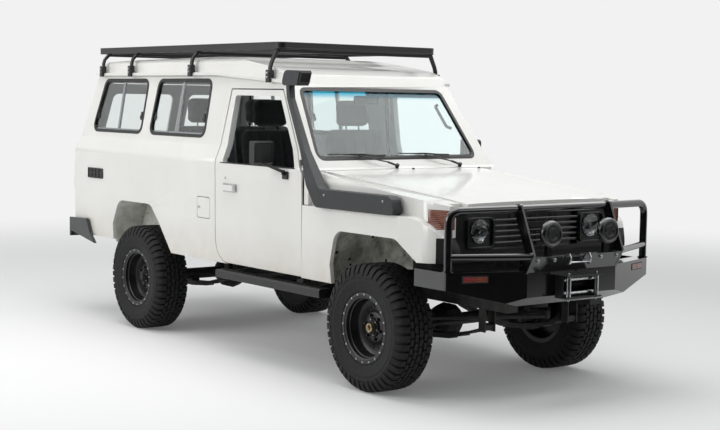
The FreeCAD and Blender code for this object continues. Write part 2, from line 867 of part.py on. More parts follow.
def roof_section(inset, low, crown):
    """The roof across the car: sides that lean in, a rounded shoulder and a low crown."""
    at = d.shoulder_half - lean * (low - d.shoulder_height) - inset
    side = d.shoulder_half - lean * (as_size(2100) - d.shoulder_height) - inset
    return [
        (at, low),
        (side, crown - 45, 45),
        (side * 0.55, crown - 8, 900),
        (-side * 0.55, crown - 8, 900),
        (-side, crown - 45, 45),
        (-at, low),
    ]


roof_top = as_size(2172)
roof_outer = common("roof_outer", [
    end_view("roof_section", roof_section(0, as_size(1900), roof_top), rear_station, front_station),
    side_view("roof_profile", roof_profile, -half_reach, half_reach),
])
hollow_profile = [
    (screen_x(d.header_height) - 75, 1900),
    (screen_x(d.header_height) - 85, 1995, 40),
    (-1330, 2032, 120),
    (-1870, 2120, 500),
    (-2500, 2134, 900),
    (-3400, 2112, 900),
    (d.rear_top_x + 110, 2092, 100),
    (d.rear_top_x + 45, 2040, 40),
    (d.rear_top_x + 45, 1900),
]
roof_inner = common("roof_inner", [
    end_view("roof_hollow_section", roof_section(roof_wall, as_size(1890), roof_top - 24), rear_station, front_station),
    side_view("roof_hollow_profile", hollow_profile, -half_reach, half_reach),
])
gutter_lip = as_size(22)
gutter_band = [
    (screen_x(d.header_height), d.header_height + d.seat_gap),
    (screen_x(d.header_height), d.header_height + gutter_lip),
    (d.brow_x, d.brow_height + gutter_lip),
    (d.high_roof_x, d.gutter_height + gutter_lip),
    (d.rear_top_x, d.gutter_height + gutter_lip),
    (d.rear_top_x, d.gutter_height + d.seat_gap),
    (d.high_roof_x, d.gutter_height + d.seat_gap),
    (d.brow_x, d.brow_height + d.seat_gap),
]
gutter_reach = d.gutter_half + 36
gutters = fuse("gutters", [
    side_view("gutter_right", gutter_band, -gutter_reach, -(d.gutter_half - 8)),
    side_view("gutter_left", gutter_band, d.gutter_half - 8, gutter_reach),
])
sub_part("roof", cut("roof", fuse("roof_with_gutters", [roof_outer, gutters]), roof_inner))

# Glazing: panes held in rubber seals that lap the body by a few millimetres.
side_pane_layer = end_view("pane_layer", side_strip(d.glass_inset, d.glass_inset + d.glass_thickness), rear_station, front_station)
pane_openings = fuse("pane_openings", [
    side_view("mid_pane", mid_window(d.seal_width), -half_reach, 0),
    side_view("rear_pane", rear_window(d.seal_width), -half_reach, 0),
])
right_panes = common("right_panes", [side_pane_layer, pane_openings])
left_panes = mirrored("left_panes", right_panes)


def screen_slab(name, front_inset, rear_inset):
    """A layer parallel to the windscreen, between two depths behind its frame."""
    return side_view(name, [
        (screen_x(1400, front_inset), 1400),
        (screen_x(1960, front_inset), 1960),
        (screen_x(1960, rear_inset), 1960),
        (screen_x(1400, rear_inset), 1400),
    ], -half_reach, half_reach)


screen_pane = common("screen_pane", [
    screen_slab("screen_layer", as_size(10), as_size(18)),
    end_view("screen_pane_outline", screen_outline(d.seal_width), d.brow_x, front_station),
])
sub_part("fixed_glass", group("fixed_glass", [screen_pane, right_panes, left_panes]))

seal_layer = end_view("seal_layer", side_strip(-d.seal_proud, d.seal_depth), rear_station, front_station)
seal_rings = cut("seal_rings",
                 fuse("seal_outer", [side_view("mid_seal", mid_window(d.seat_gap), -half_reach, 0),
                                     side_view("rear_seal", rear_window(d.seat_gap), -half_reach, 0)]),
                 fuse("seal_inner", [side_view("mid_seal_hole", mid_window(d.seal_width - 0.3), -half_reach, 0),
                                     side_view("rear_seal_hole", rear_window(d.seal_width - 0.3), -half_reach, 0)]))
right_seals = common("right_seals", [seal_layer, seal_rings])
left_seals = mirrored("left_seals", right_seals)
screen_seal = common("screen_seal", [
    screen_slab("screen_seal_layer", as_size(-4), as_size(30)),
    cut("screen_seal_ring",
        end_view("screen_seal_outline", screen_outline(d.seat_gap), d.brow_x, front_station),
        end_view("screen_seal_hole", screen_outline(d.seal_width - 0.3), d.brow_x, front_station)),
])
sub_part("window_seals", group("window_seals", [screen_seal, right_seals, left_seals]))

# Front doors: an outer skin and a narrower inner box, with the window wound down.
door_skin = common("door_skin", [
    end_view("door_skin_layer", side_strip(0, d.skin), rear_station, front_station),
    side_view("door_skin_outline", front_door_outline(0), -half_reach, -500),
])
door_box = common("door_box", [
    end_view("door_box_layer", side_strip(d.skin, d.wall), rear_station, front_station),
    side_view("door_box_outline", front_door_outline(0, d.door_step), -half_reach, -500),
])
door_window = side_view("door_window", [
    (d.door_front_x - d.door_sash_front, d.door_belt_height + 4, 12),
    (d.door_head_front_x - 22, d.door_head_height - d.door_frame_width + 14, 20),
    (d.door_head_rear_x + d.door_frame_width, d.door_head_height - d.door_frame_width + 14, 20),
    (d.door_rear_x + d.door_frame_width + 40, d.door_belt_height + 4, 12),
], -half_reach, -500)
door_handle = block("door_handle", (-1740, -1580), (-(d.belt_half + 30), -(d.belt_half - 6)), (1178, 1220))
hinge_notches = []
for name, height in door_hinge_heights():
    hinge_notches.append(block("hinge_notch_" + name, (d.door_hinge_x - 12, d.door_front_x + 5),
                               (-(d.door_hinge_y + 11), -(d.door_hinge_y - 35)), (height - 3, height + leaf_height + 4)))
    hinge_notches.append(round_bar("door_pin_hole_" + name, "z", (d.door_hinge_x, -d.door_hinge_y),
                                   pin_hole_radius, height - pin_reach - 1, height, 12))
door_box_cut = cut("door_box_cut", door_box, fuse("hinge_notches", hinge_notches))
door_form = fuse("door_form", [cut("door_panel", fuse("door_solid", [door_skin, door_box_cut]), door_window), door_handle])
sub_part("door_left", mirrored("door_left", door_form))
sub_part("door_right", same("door_right", door_form))

mirror_front_x = as_size(-1058)
mirror_rear_x = as_size(-1122)
mirror_low_height = as_size(1398)
mirror_high_height = as_size(1556)
mirror_arm = solid("mirror_arm", tube_shape([
    (-945, -(d.belt_half + 8), 1328), (-945, -(d.belt_half + 30), 1352), (mirror_front_x - 20, -950, mirror_low_height + 8)],
    11, 18, 8))
mirror_foot = block("mirror_foot", (-975, -915), (-(d.belt_half + 14), -(d.belt_half + d.seat_gap)), (1300, 1352))
mirror_head = side_view("mirror_head", [
    (mirror_rear_x, mirror_low_height, 14), (mirror_front_x, mirror_low_height, 24), (mirror_front_x, mirror_high_height, 24),
    (mirror_rear_x, mirror_high_height, 14)], -1030, -872)
mirror_form = fuse("mirror_form", [mirror_arm, mirror_foot, mirror_head])
sub_part("mirror_left", mirrored("mirror_left", mirror_form))
sub_part("mirror_right", same("mirror_right", mirror_form))

# Rear doors: a pair hung at the rear corners, the right one the wider, with a window each.
rear_layer = side_view("rear_layer", [
    (d.rear_foot_x, d.rear_sill_height), (d.rear_waist_x, d.rear_waist_height), (d.rear_belt_x, d.belt_height),
    (d.rear_top_x, d.gutter_height), (d.rear_top_x + d.rear_door_thickness, d.gutter_height),
    (d.rear_belt_x + d.rear_door_thickness, d.belt_height), (d.rear_waist_x + d.rear_door_thickness, d.rear_waist_height),
    (d.rear_foot_x + d.rear_door_thickness, d.rear_sill_height),
], -half_reach, half_reach)
rear_door_fill = end_view("rear_door_fill", rear_door_opening(0), rear_station, rear_wall_x)
split_low = d.rear_door_split_y - d.rear_door_gap / 2
split_high = d.rear_door_split_y + d.rear_door_gap / 2
rear_doors_solid = common("rear_doors_solid", [rear_layer, rear_door_fill])


def rear_pane_outline(side, shrink):
    """A rear door's window from behind: side is -1 for the right door and 1 for the left."""
    low = d.rear_glass_low_height + shrink
    high = d.rear_glass_high_height - shrink
    if side < 0:
        outer_low = -(d.rear_door_half - 90) + shrink
        outer_high = -(d.rear_door_head_half - 70) + shrink
        inner = split_low - 70 - shrink
    else:
        outer_low = d.rear_door_half - 90 - shrink
        outer_high = d.rear_door_head_half - 70 - shrink
        inner = split_high + 70 + shrink
    corner = as_size(50) - shrink
    points = [(outer_low, low, corner), (inner, low, corner), (inner, high, corner), (outer_high, high, corner)]
    return points


def rear_door(label, side, low, high):
    leaf = common("rear_leaf_" + label, [rear_doors_solid, block("leaf_span_" + label, (rear_station, rear_wall_x), (low, high), (600, 2100))])
    hole = end_view("rear_hole_" + label, rear_pane_outline(side, as_size(0)), rear_station, rear_wall_x)
    straps = []
    holes = []
    for name, height in rear_hinge_heights():
        face = rear_face_x(height)
        edge = d.rear_door_half - 4
        outline = [(face + 6, edge - 60), (face - 8, edge - 60), (d.rear_hinge_x - 9, edge - 8), (d.rear_hinge_x - 9, d.rear_hinge_y + 9),
                   (d.rear_hinge_x + 9, d.rear_hinge_y + 9), (d.rear_hinge_x + 9, edge), (face + 6, edge)]
        straps.append(plan_view("rear_strap_" + name + "_" + label, [(x, y * side) for x, y in outline],
                                height - leaf_height, height - 1))
        holes.append(round_bar("rear_pin_hole_" + name + "_" + label, "z", (d.rear_hinge_x, d.rear_hinge_y * side),
                               pin_hole_radius, height - leaf_height - 1, height, 12))
    panel = fuse("rear_panel_" + label, [cut("rear_open_panel_" + label, leaf, hole)] + straps)
    sub_part("rear_door_" + label, cut("rear_door_" + label, panel, fuse("rear_pin_holes_" + label, holes)))
    pane_layer = side_view("rear_pane_layer_" + label, [
        (d.rear_belt_x + 10, d.belt_height), (d.rear_top_x + 10, d.gutter_height),
        (d.rear_top_x + 16, d.gutter_height), (d.rear_belt_x + 16, d.belt_height),
    ], -half_reach, half_reach)
    pane = common("rear_glass_" + label, [
        pane_layer,
        end_view("rear_pane_" + label, rear_pane_outline(side, d.seat_gap), rear_station, rear_wall_x)])
    sub_part("rear_glass_" + label, pane)


rear_door("right", -1, -half_reach, split_low)
rear_door("left", 1, split_high, half_reach)

# Fuel flap, let into the right side and hinged at its front edge.
flap = common("flap", [
    end_view("flap_layer", side_strip(0, flap_thickness), rear_station, front_station),
    side_view("flap_outline", flap_outline(as_size(0)), -half_reach, -500),
])
flap_pin_hole = round_bar("flap_pin_hole", "z", (d.flap_hinge_x, -(d.belt_half - 9)), as_size(2.8), flap_low_height - 1, flap_high_height + 1)
sub_part("fuel_flap", cut("fuel_flap", flap, flap_pin_hole))

# Front wings: the wheel house, a flare with a ledge along its top, and the side of the bonnet line.
wing_top = [
    (d.wing_rear_x, 700),
    (d.wing_rear_x, d.wing_top_rear_height),
    (d.wing_front_x - 180, d.wing_top_front_height + 12, 700),
    (d.wing_front_x, d.wing_top_front_height - 12),
    (d.wing_front_x, 800),
]
cowl_trim = block("cowl_trim", (-900, d.cowl_x + d.seat_gap), (-(d.sill_half - 25 + d.seat_gap), 0), (500, 1500))
cowl_front_x = d.bonnet_rear_x - d.cowl_gap
cowl_low_height = as_size(1300)
cowl_room = block("cowl_room", (-900, cowl_front_x + d.seat_gap), (-(d.bonnet_rear_half + d.seat_gap), 0),
                  (cowl_low_height - d.seat_gap, 1500))
wing_upper = common("wing_upper", [
    side_view("wing_top", wing_top, -half_reach, 0),
    plan_view("wing_plan", [
        (d.wing_rear_x, -d.bay_half), (d.wing_rear_x, -d.wing_upper_half - 10), (100, -d.wing_upper_half),
        (d.wing_front_x - 150, -(d.wing_upper_half - 20), 300), (d.wing_front_x, -(d.wing_upper_half - 70)),
        (d.wing_front_x, -d.bay_half)], 600, 1500),
    end_view("wing_across", [
        (-d.bay_half, 700), (-d.bay_half, 1500), (-(d.wing_upper_half - 60), 1395), (-(d.wing_upper_half - 4), 1300, 60),
        (-(d.wing_upper_half + 12), 700)], -900, 900),
])
flare_outline = [
    (d.wing_rear_x, d.sill_height + 2),
    (d.wing_rear_x, d.wing_ledge_height),
    (420, d.wing_ledge_height + 6, 300),
    (590, d.wing_ledge_height - 58, 200),
    (d.flare_front_x, 960, 80),
    (d.flare_front_x - 8, 880),
    (470, 872),
    (330, 845),
    (330, 560),
    (-340, 560),
    (-340, d.sill_height + 2),
]
flare = common("flare", [
    side_view("flare_side", flare_outline, -half_reach, -600),
    plan_view("flare_plan", [
        (d.wing_rear_x, -600), (d.wing_rear_x, -d.belt_half), (-420, -d.belt_half - 4, 300), (-250, -d.wing_lower_half, 300),
        (300, -d.wing_lower_half, 300), (d.flare_front_x - 120, -(d.wing_lower_half - 20), 200), (d.flare_front_x, -740),
        (d.flare_front_x, -600)], 500, 1200),
])
wheel_house = side_view("wheel_house", [
    (-520, 400), (-520, 760), (-395, d.arch_top_height + 22, 120), (330, d.arch_top_height + 22, 120), (520, 830), (520, 400),
], -(d.sill_half - 15), -(d.bay_half + d.bay_wall))
front_arch = side_view("front_arch", [
    (-350, 400), (-425, 770), (-370, d.arch_top_height, d.arch_round), (270, d.arch_top_height, d.arch_round), (480, 862), (480, 400),
], -half_reach, -500)


def bonnet_plan(grow):
    grow = as_size(grow)
    return [
        (d.bonnet_rear_x - grow, -(d.bonnet_rear_half + grow)), (d.bonnet_rear_x - grow, d.bonnet_rear_half + grow),
        (d.bonnet_front_x + grow, d.bonnet_front_half + grow), (d.bonnet_front_x + grow, -(d.bonnet_front_half + grow)),
    ]


def wing_top_at(x):
    """The height of the wing's top edge at a station behind its last bend."""
    slope = (d.wing_top_rear_height - d.wing_top_front_height - 12) / (d.wing_front_x - 180 - d.wing_rear_x)
    return d.wing_top_rear_height - (as_size(x) - d.wing_rear_x) * slope


bonnet_bend_x = d.bonnet_front_x - 178
bonnet_edges = [
    (d.bonnet_rear_x, d.bonnet_rear_half, wing_top_at(d.bonnet_rear_x) + d.bonnet_edge_rise),
    (bonnet_bend_x, d.bonnet_rear_half - (d.bonnet_rear_half - d.bonnet_front_half) * 0.863,
     wing_top_at(bonnet_bend_x) + d.bonnet_edge_rise),
    (d.bonnet_front_x, d.bonnet_front_half, d.wing_top_front_height - 12 + d.bonnet_edge_rise),
]


def bonnet_section(half, edge):
    """The bonnet across the car: a shallow crown over an even thickness."""
    crown = d.bonnet_crown * (half / d.bonnet_rear_half)
    top = [(half, edge), (half * 0.85, edge + crown * 0.6), (half * 0.5, edge + crown * 0.9), (0, edge + crown)]
    under = [(y, z - d.bonnet_thickness) for y, z in top]
    over = top + [(-y, z) for y, z in reversed(top[:-1])]
    below = [(-y, z) for y, z in under[:-1]] + list(reversed(under))
    return over + below


bonnet_room = fuse("bonnet_room", [
    common("bonnet_room_rear", [
        plan_view("bonnet_room_plan", bonnet_plan(d.bonnet_gap), 900, 1600),
        side_view("bonnet_room_side", [
            (d.bonnet_rear_x - 60, 1700), (d.bonnet_rear_x - 60, bonnet_edges[0][2] - d.bonnet_thickness - 6),
            (bonnet_bend_x, bonnet_edges[1][2] - d.bonnet_thickness - 6),
            (d.bonnet_front_x + 40, bonnet_edges[2][2] - d.bonnet_thickness - 10), (d.bonnet_front_x + 40, 1700)],
            -half_reach, half_reach)]),
    round_bar("bonnet_pin_hole", "y", (d.bonnet_hinge_x, d.bonnet_hinge_height), d.bonnet_pin_radius + 0.4,
              -(d.bonnet_rear_half + 33), -d.bonnet_rear_half, 12)])
bonnet_swing_room = block("bonnet_swing_room", (cowl_front_x, d.bonnet_rear_x), (-(d.bonnet_rear_half + d.bonnet_gap), 0),
                          (bonnet_edges[0][2] - d.bonnet_thickness - 6, 1500))
nose_room = block("nose_room", (d.wing_front_x - d.nose_thickness - d.seat_gap, 900), (-(d.nose_half + d.seat_gap), 0), (600, 1300))
wing_cuts = fuse("wing_cuts", [wheel_house, front_arch, bonnet_room, bonnet_swing_room, cowl_trim, cowl_room, nose_room])
wing_solid = fuse("wing_solid", [wing_upper, flare])
wing_closed = cut("wing_closed", wing_solid, wing_cuts)
corner_lamp_low = as_size(1077)
corner_lamp_high = as_size(1194)


def corner_lamp_room(name, gap):
    """The wing's front corner, where the amber lamp sits."""
    return block(name, (481 - gap, 800), (-(d.wing_upper_half - 8), -(d.nose_half + 1 - gap)), (corner_lamp_low - gap, corner_lamp_high + gap))


corner_lamp_inner = block("corner_lamp_inner", (400, 580), (-(d.wing_upper_half - 60), 0), (1000, 1300))
corner_lamp_shape = common("corner_lamp_shape", [wing_closed, cut("corner_lamp_span", corner_lamp_room("corner_lamp_box", as_size(0)), corner_lamp_inner)])
corner_lamp_back = block("corner_lamp_back", (400, 580 - d.seat_gap), (-(d.wing_upper_half - 60 - d.seat_gap), 0), (1000, 1300))
wing_form = cut("wing_form", wing_closed, cut("corner_lamp_recess", corner_lamp_room("corner_lamp_room", d.seat_gap), corner_lamp_back))
sub_part("wing_left", mirrored("wing_left", wing_form))
sub_part("wing_right", same("wing_right", wing_form))

# Bonnet: one pressed panel, lofted from the cowl to the nose, on a pin in each wing at the cowl.
bonnet_body, bonnet_sketch = new_body("bonnet_panel", "YZ_Plane", bonnet_section(*bonnet_edges[0][1:]), bonnet_edges[0][0])
later_sketches = []
for number, (station, half, edge) in enumerate(bonnet_edges[1:]):
    sketch = bonnet_body.newObject("Sketcher::SketchObject", "bonnet_section_" + str(number))
    plane = [item for item in bonnet_body.Origin.OriginFeatures if item.Role == "YZ_Plane"][0]
    sketch.AttachmentSupport = [(plane, "")]
    sketch.MapMode = "FlatFace"
    bind(sketch, "AttachmentOffset.Base.z", station)
    draw(sketch, bonnet_section(half, edge))
    sketch.Visibility = False
    later_sketches.append(sketch)
bonnet_loft = bonnet_body.newObject("PartDesign::AdditiveLoft", "bonnet_loft")
bonnet_loft.Profile = bonnet_sketch
bonnet_loft.Sections = later_sketches
bonnet_loft.Ruled = True
bonnet_sketch.Visibility = False
bonnet_pins = [round_bar("bonnet_pin_" + side, "y", (d.bonnet_hinge_x, d.bonnet_hinge_height), d.bonnet_pin_radius, low, high, sides)
               for side, low, high, sides in (("right", -(d.bonnet_rear_half + 30), -(d.bonnet_rear_half - 15), 0),
                                              ("left", d.bonnet_rear_half - 15, d.bonnet_rear_half + 30, 12))]
sub_part("bonnet", fuse("bonnet", [bonnet_body] + bonnet_pins))

# Cowl between bonnet and windscreen.
cowl = side_view("cowl", [
    (d.cowl_x + d.seat_gap, cowl_low_height), (d.cowl_x + d.seat_gap, d.cowl_height - 2), (cowl_front_x, d.wing_top_rear_height),
    (cowl_front_x, cowl_low_height)], -d.bonnet_rear_half, d.bonnet_rear_half)

# Nose panel with the lamp and grille opening, which leaves a painted strip below it.
nose_back_x = d.wing_front_x - d.nose_thickness
nose_face_x = d.wing_front_x - 6
nose = cut("nose", block("nose_block", (nose_back_x, nose_face_x), (-d.nose_half, d.nose_half),
                         (d.nose_low_height, d.wing_top_front_height - 24)),
           block("nose_lip", (nose_back_x - 50, nose_face_x + 50), (-half_reach, half_reach),
                 (bonnet_edges[2][2] - d.bonnet_thickness - d.running_gap, 1400)))
grille_half = d.nose_half - 14
grille_low = as_size(918)
grille_high = as_size(1178)
grille_corner = as_size(46)


def grille_outline(gap):
    half = grille_half - gap
    low = grille_low + gap
    high = grille_high - gap
    return [(-half, low, grille_corner), (half, low, grille_corner), (half, high, 20), (-half, high, 20)]


grille_opening = end_view("grille_opening", grille_outline(as_size(0)), nose_back_x - 50, nose_face_x + 50)
sub_part("nose_panel", group("nose_and_cowl", [cut("nose_plate", nose, grille_opening), cowl]))

# Grille: a flat black surround with a raised frame round each headlamp and ribbed bars between them.
grille_back = nose_back_x + 10
grille_face = nose_face_x - 6
bezel_face = nose_face_x + 8
bezel_corner = as_size(34)
mouth_half = d.lamp_y - d.bezel_half - 6
mouth_low = grille_low + 26
mouth_high = grille_high - 22


def bezel_outline(y, shrink):
    half = d.bezel_half - shrink
    return [(y - half, d.bezel_low_height + shrink, bezel_corner - shrink), (y + half, d.bezel_low_height + shrink, bezel_corner - shrink),
            (y + half, d.bezel_high_height - shrink, bezel_corner - shrink), (y - half, d.bezel_high_height - shrink, bezel_corner - shrink)]


surround = end_view("grille_plate", grille_outline(d.seat_gap), grille_back, grille_face)
mouth = block("grille_mouth", (grille_back + 6, 900), (-mouth_half, mouth_half), (mouth_low, mouth_high))
bezels = []
lamp_holes = [mouth]
for side, y in (("right", -d.lamp_y), ("left", d.lamp_y)):
    bezels.append(end_view("bezel_" + side, bezel_outline(y, as_size(0)), grille_face - 2, bezel_face))
    lamp_holes.append(end_view("bezel_dish_" + side, bezel_outline(y, as_size(9)), grille_face, bezel_face + 10))
    lamp_holes.append(round_bar("lamp_hole_" + side, "x", (y, d.lamp_height), d.lamp_radius + d.seat_gap, 400, 900, 20))
slat_pitch = (mouth_high - mouth_low) / (d.grille_slats + 1)
slat_half_height = as_size(6)
slats = [side_view("grille_slat_" + str(i), [
    (grille_back + 4, mouth_low + slat_pitch * (i + 1) - slat_half_height), (grille_face - 4, mouth_low + slat_pitch * (i + 1) - slat_half_height),
    (grille_face + 2, mouth_low + slat_pitch * (i + 1)), (grille_face - 4, mouth_low + slat_pitch * (i + 1) + slat_half_height),
    (grille_back + 4, mouth_low + slat_pitch * (i + 1) + slat_half_height)], -(mouth_half + 1), mouth_half + 1)
         for i in range(DIMENSIONS["grille_slats"])]
surround_open = cut("grille_surround", fuse("grille_blank", [surround] + bezels), fuse("grille_holes", lamp_holes))
sub_part("grille", fuse("grille", [surround_open] + slats))

# Lamps: round headlamps, amber lamps in the wings' corners and the tail lamps.
headlamps = [round_bar("headlamp_" + side, "x", (y, d.lamp_height), d.lamp_radius, grille_back, bezel_face - 4, 20)
             for side, y in (("right", -d.lamp_y), ("left", d.lamp_y))]
tail_low = as_size(1140)
tail_high = as_size(1356)
tail_inner = d.rear_door_half + 52
tail_outer = d.belt_half - 33
tail_lamps = [side_view("tail_lamp_" + side, [
    (rear_face_x(tail_low) - d.seat_gap, tail_low), (rear_face_x(tail_high) - d.seat_gap, tail_high),
    (rear_face_x(tail_high) - 20, tail_high), (rear_face_x(tail_low) - 20, tail_low)], span[0], span[1])
              for side, span in (("right", (-tail_outer, -tail_inner)), ("left", (tail_inner, tail_outer)))]
corner_lamps = [same("corner_lamp_right", corner_lamp_shape), mirrored("corner_lamp_left", corner_lamp_shape)]
sub_part("lamps", group("lamps", headlamps + tail_lamps + corner_lamps))

# Ladder frame: two rails, cross members and body mounts.
rail_low = d.rail_low_height
rail_high = d.rail_low_height + d.rail_depth
rail_inner = d.rail_y - d.rail_width / 2
rail_outer = d.rail_y + d.rail_width / 2
rails = [block("rail_" + side, (d.rear_foot_x, d.rail_front_x), span, (rail_low, rail_high))
         for side, span in (("right", (-rail_outer, -rail_inner)), ("left", (rail_inner, rail_outer)))]
cross_members = [block("cross_member_" + str(i), (x - 30, x + 30), (-rail_inner - 5, rail_inner + 5), (rail_high - 90, rail_high - 10))
                 for i, x in enumerate((640, -1900, -2480, -3470, -3970))]
gearbox_sling = block("gearbox_sling", (-1450, -1370), (-(d.rail_y + 35), d.rail_y + 35), (430, 468))
sling_legs = [block("sling_leg_" + side, (-1450, -1370), span, (450, rail_low + 5))
              for side, span in (("right", (-(d.rail_y + 35), -(d.rail_y - 35))), ("left", (d.rail_y - 35, d.rail_y + 35)))]
body_mounts = [round_bar("body_mount_" + str(i), "z", (x, y), d.mount_radius, rail_high - 5, d.floor_height, 10)
               for i, (x, y) in enumerate([(x, y) for x in (-900, -1680, -2300, -3620, -4060) for y in (-d.rail_y, d.rail_y)])]
sub_part("frame_rails", fuse("frame_rails", rails + cross_members + [gearbox_sling] + sling_legs + body_mounts))

# Engine, gearbox and transfer case as plain blocks, on the frame and the sling.
engine_half = as_size(250)
engine_pieces = [
    block("engine_block", (-600, 220), (-engine_half, engine_half), (625, 1130)),
    block("engine_mount_right", (-250, -150), (-(rail_inner - 0.3), -engine_half + 5), (626, 670)),
    block("engine_mount_left", (-250, -150), (engine_half - 5, rail_inner - 0.3), (626, 670)),
    block("gearbox", (-1200, -595), (-140, 140), (500, 712)),
    block("transfer_case", (-1600, -1195), (-285, 120), (468.3, 665)),
]
sub_part("engine", fuse("engine", engine_pieces))

# Fuel tank between the rear cross members.
sub_part("fuel_tank", side_view("fuel_tank", [(-3939.7, 500, 50), (-3500.3, 500, 50), (-3500.3, 680, 30), (-3939.7, 680, 30)],
                                -(rail_inner - 8), rail_inner - 8))

# Exhaust: down from the engine, a silencer inside the left rail and an outlet ahead of the rear wheel.
exhaust_y = as_size(228)
exhaust_height = as_size(520)
pipe_radius = as_size(24)
pipe_bend = as_size(60)
outlet_x = rear_axle_x + 748
silencer_front_x = as_size(-1690)
silencer_rear_x = as_size(-2150)
exhaust_shape = tube_shape([(-420, exhaust_y, 625 - d.seat_gap), (-420, exhaust_y, exhaust_height),
                            (silencer_front_x - 10, exhaust_y, exhaust_height)], pipe_radius, pipe_bend, 10)
silencer = tube_shape([(silencer_front_x, exhaust_y, exhaust_height), (silencer_rear_x, exhaust_y, exhaust_height)], 78, 0, 14)
outlet = tube_shape([(silencer_rear_x + 10, exhaust_y, exhaust_height), (outlet_x, exhaust_y, exhaust_height),
                     (outlet_x, 780, exhaust_height)], pipe_radius, pipe_bend, 10)
exhaust_shape = exhaust_shape.fuse([silencer, outlet])
sub_part("exhaust", solid("exhaust", exhaust_shape))

# Axles. The front one carries a ball at each end for the steering knuckles.
hub_height = d.wheel_radius
half_track = d.track / 2
front_axle_pieces = [
    round_bar("front_axle_tube", "y", (0, hub_height), d.axle_tube_radius, -(d.kingpin_y - 20), d.kingpin_y - 20, 14),
    solid("front_diff", ball_shape((0, d.front_diff_y, hub_height), d.diff_radius)),
    round_bar("front_pinion", "x", (d.front_diff_y, hub_height), 52, -300, 0, 14),
    solid("axle_ball_right", ball_shape((0, -d.kingpin_y, hub_height), d.axle_ball_radius)),
    solid("axle_ball_left", ball_shape((0, d.kingpin_y, hub_height), d.axle_ball_radius)),
]
seat_half = d.spring_width / 2
front_seats_on_axle = [block("front_spring_seat_" + side, (-40, 40), (y - seat_half, y + seat_half),
                             (d.spring_top_height + d.seat_gap, hub_height))
                       for side, y in (("right", -d.rail_y), ("left", d.rail_y))]
sub_part("front_axle", fuse("front_axle", front_axle_pieces + front_seats_on_axle))

rear_axle_pieces = [
    round_bar("rear_axle_tube", "y", (rear_axle_x, hub_height), d.axle_tube_radius + 4, -(half_track - 92), half_track - 92, 14),
    round_bar("rear_spindles", "y", (rear_axle_x, hub_height), d.spindle_radius, -(half_track + 18), half_track + 18),
    solid("rear_diff", ball_shape((rear_axle_x, 0, hub_height), d.diff_radius + 22)),
    round_bar("rear_pinion", "x", (0, hub_height), 52, rear_axle_x, rear_axle_x + 300, 14),
]
rear_seats_on_axle = [block("rear_spring_seat_" + side, (rear_axle_x - 40, rear_axle_x + 40), (y - seat_half, y + seat_half),
                            (d.spring_top_height + d.seat_gap, hub_height))
                      for side, y in (("right", -d.rail_y), ("left", d.rail_y))]
sub_part("rear_axle", fuse("rear_axle", rear_axle_pieces + rear_seats_on_axle))

# Leaf springs under the axles, with their eyes, hangers and shackles, and the dampers.
leaf_bends = (1.0, 0.78, 0.54, 0.3, 0.08)
leaf_shares = (1.0, 0.84, 0.66, 0.46)


def leaf_spring(name, axle_x, y):
    """One spring: a bow of leaves that shorten downward, an eye at each end and plates up to the rail."""
    rise = d.spring_eye_height - d.spring_top_height
    leaf = d.spring_thickness / 4
    over = [(-share, 0) for share in leaf_bends] + [(share, 0) for share in reversed(leaf_bends)]
    under = []
    for number, share in enumerate(leaf_shares):
        following = leaf_shares[number + 1] if number < 3 else 0
        under += [(share, number + 1), ((share + following) / 2 if number < 3 else 0.08, number + 1)]
        if number < 3:
            under.append((following, number + 1))
    under += [(-share, drop) for share, drop in reversed(under)]
    outline = [(axle_x + d.spring_span * share, d.spring_top_height + rise * max(share * share - 0.0064, 0) - leaf * drop)
               for share, drop in over + under]
    low = y - d.spring_width / 2
    high = y + d.spring_width / 2
    pieces = [side_view(name + "_leaves", outline, low, high)]
    for end, sign in (("rear", -1), ("front", 1)):
        eye_x = axle_x + d.spring_span * sign
        pieces.append(round_bar(name + "_eye_" + end, "y", (eye_x, d.spring_eye_height), 25, low - 2, high + 2, 10))
        for side, start in (("right", low - 9), ("left", high + 1)):
            pieces.append(block(name + "_plate_" + end + "_" + side, (eye_x - 30, eye_x + 30), (start, start + 8),
                                (d.spring_eye_height - 30, rail_low - d.seat_gap)))
    return fuse(name, pieces)


springs = [leaf_spring("spring_" + str(i), as_size(x), as_size(y))
           for i, (x, y) in enumerate([(x, y) for x in (0, rear_axle_x) for y in (-d.rail_y, d.rail_y)])]
damper_y = rail_outer + 34
dampers = []
for i, (x, side) in enumerate([(x, side) for x in (-130, rear_axle_x - 130) for side in (-1, 1)]):
    y = damper_y * side
    upper = tube_shape([(x, y, 560), (x, y, rail_high + 10)], 26, 0, 8)
    lower = tube_shape([(x, y, 395), (x, y, 570)], 20, 0, 8)
    stud = tube_shape([(x, (rail_outer + d.seat_gap) * side, 660), (x, y, 660)], 14, 0, 6)
    dampers.append(solid("damper_" + str(i), upper.fuse([lower, stud])))
sub_part("suspension", group("suspension", springs + dampers))

# Propeller shafts from the transfer case to the axles.
def propshaft(name, start, end):
    """A tube with a short yoke, in line with the car, at each end."""
    direction = 1 if as_size(end[0]).value > as_size(start[0]).value else -1
    start_in = (start[0] + direction * 45, start[1], start[2])
    end_in = (end[0] - direction * 45, end[1], end[2])
    return solid(name, tube_shape([start, start_in], 38).fuse([tube_shape([start_in, end_in], 30), tube_shape([end_in, end], 38)]))


sub_part("propshafts", group("propshafts", [
    propshaft("front_propshaft", (-1194.7, d.front_diff_y, 560), (-300.3, d.front_diff_y, hub_height)),
    propshaft("rear_propshaft", (-1600.3, 0, 560), (rear_axle_x + 300.3, 0, hub_height)),
]))

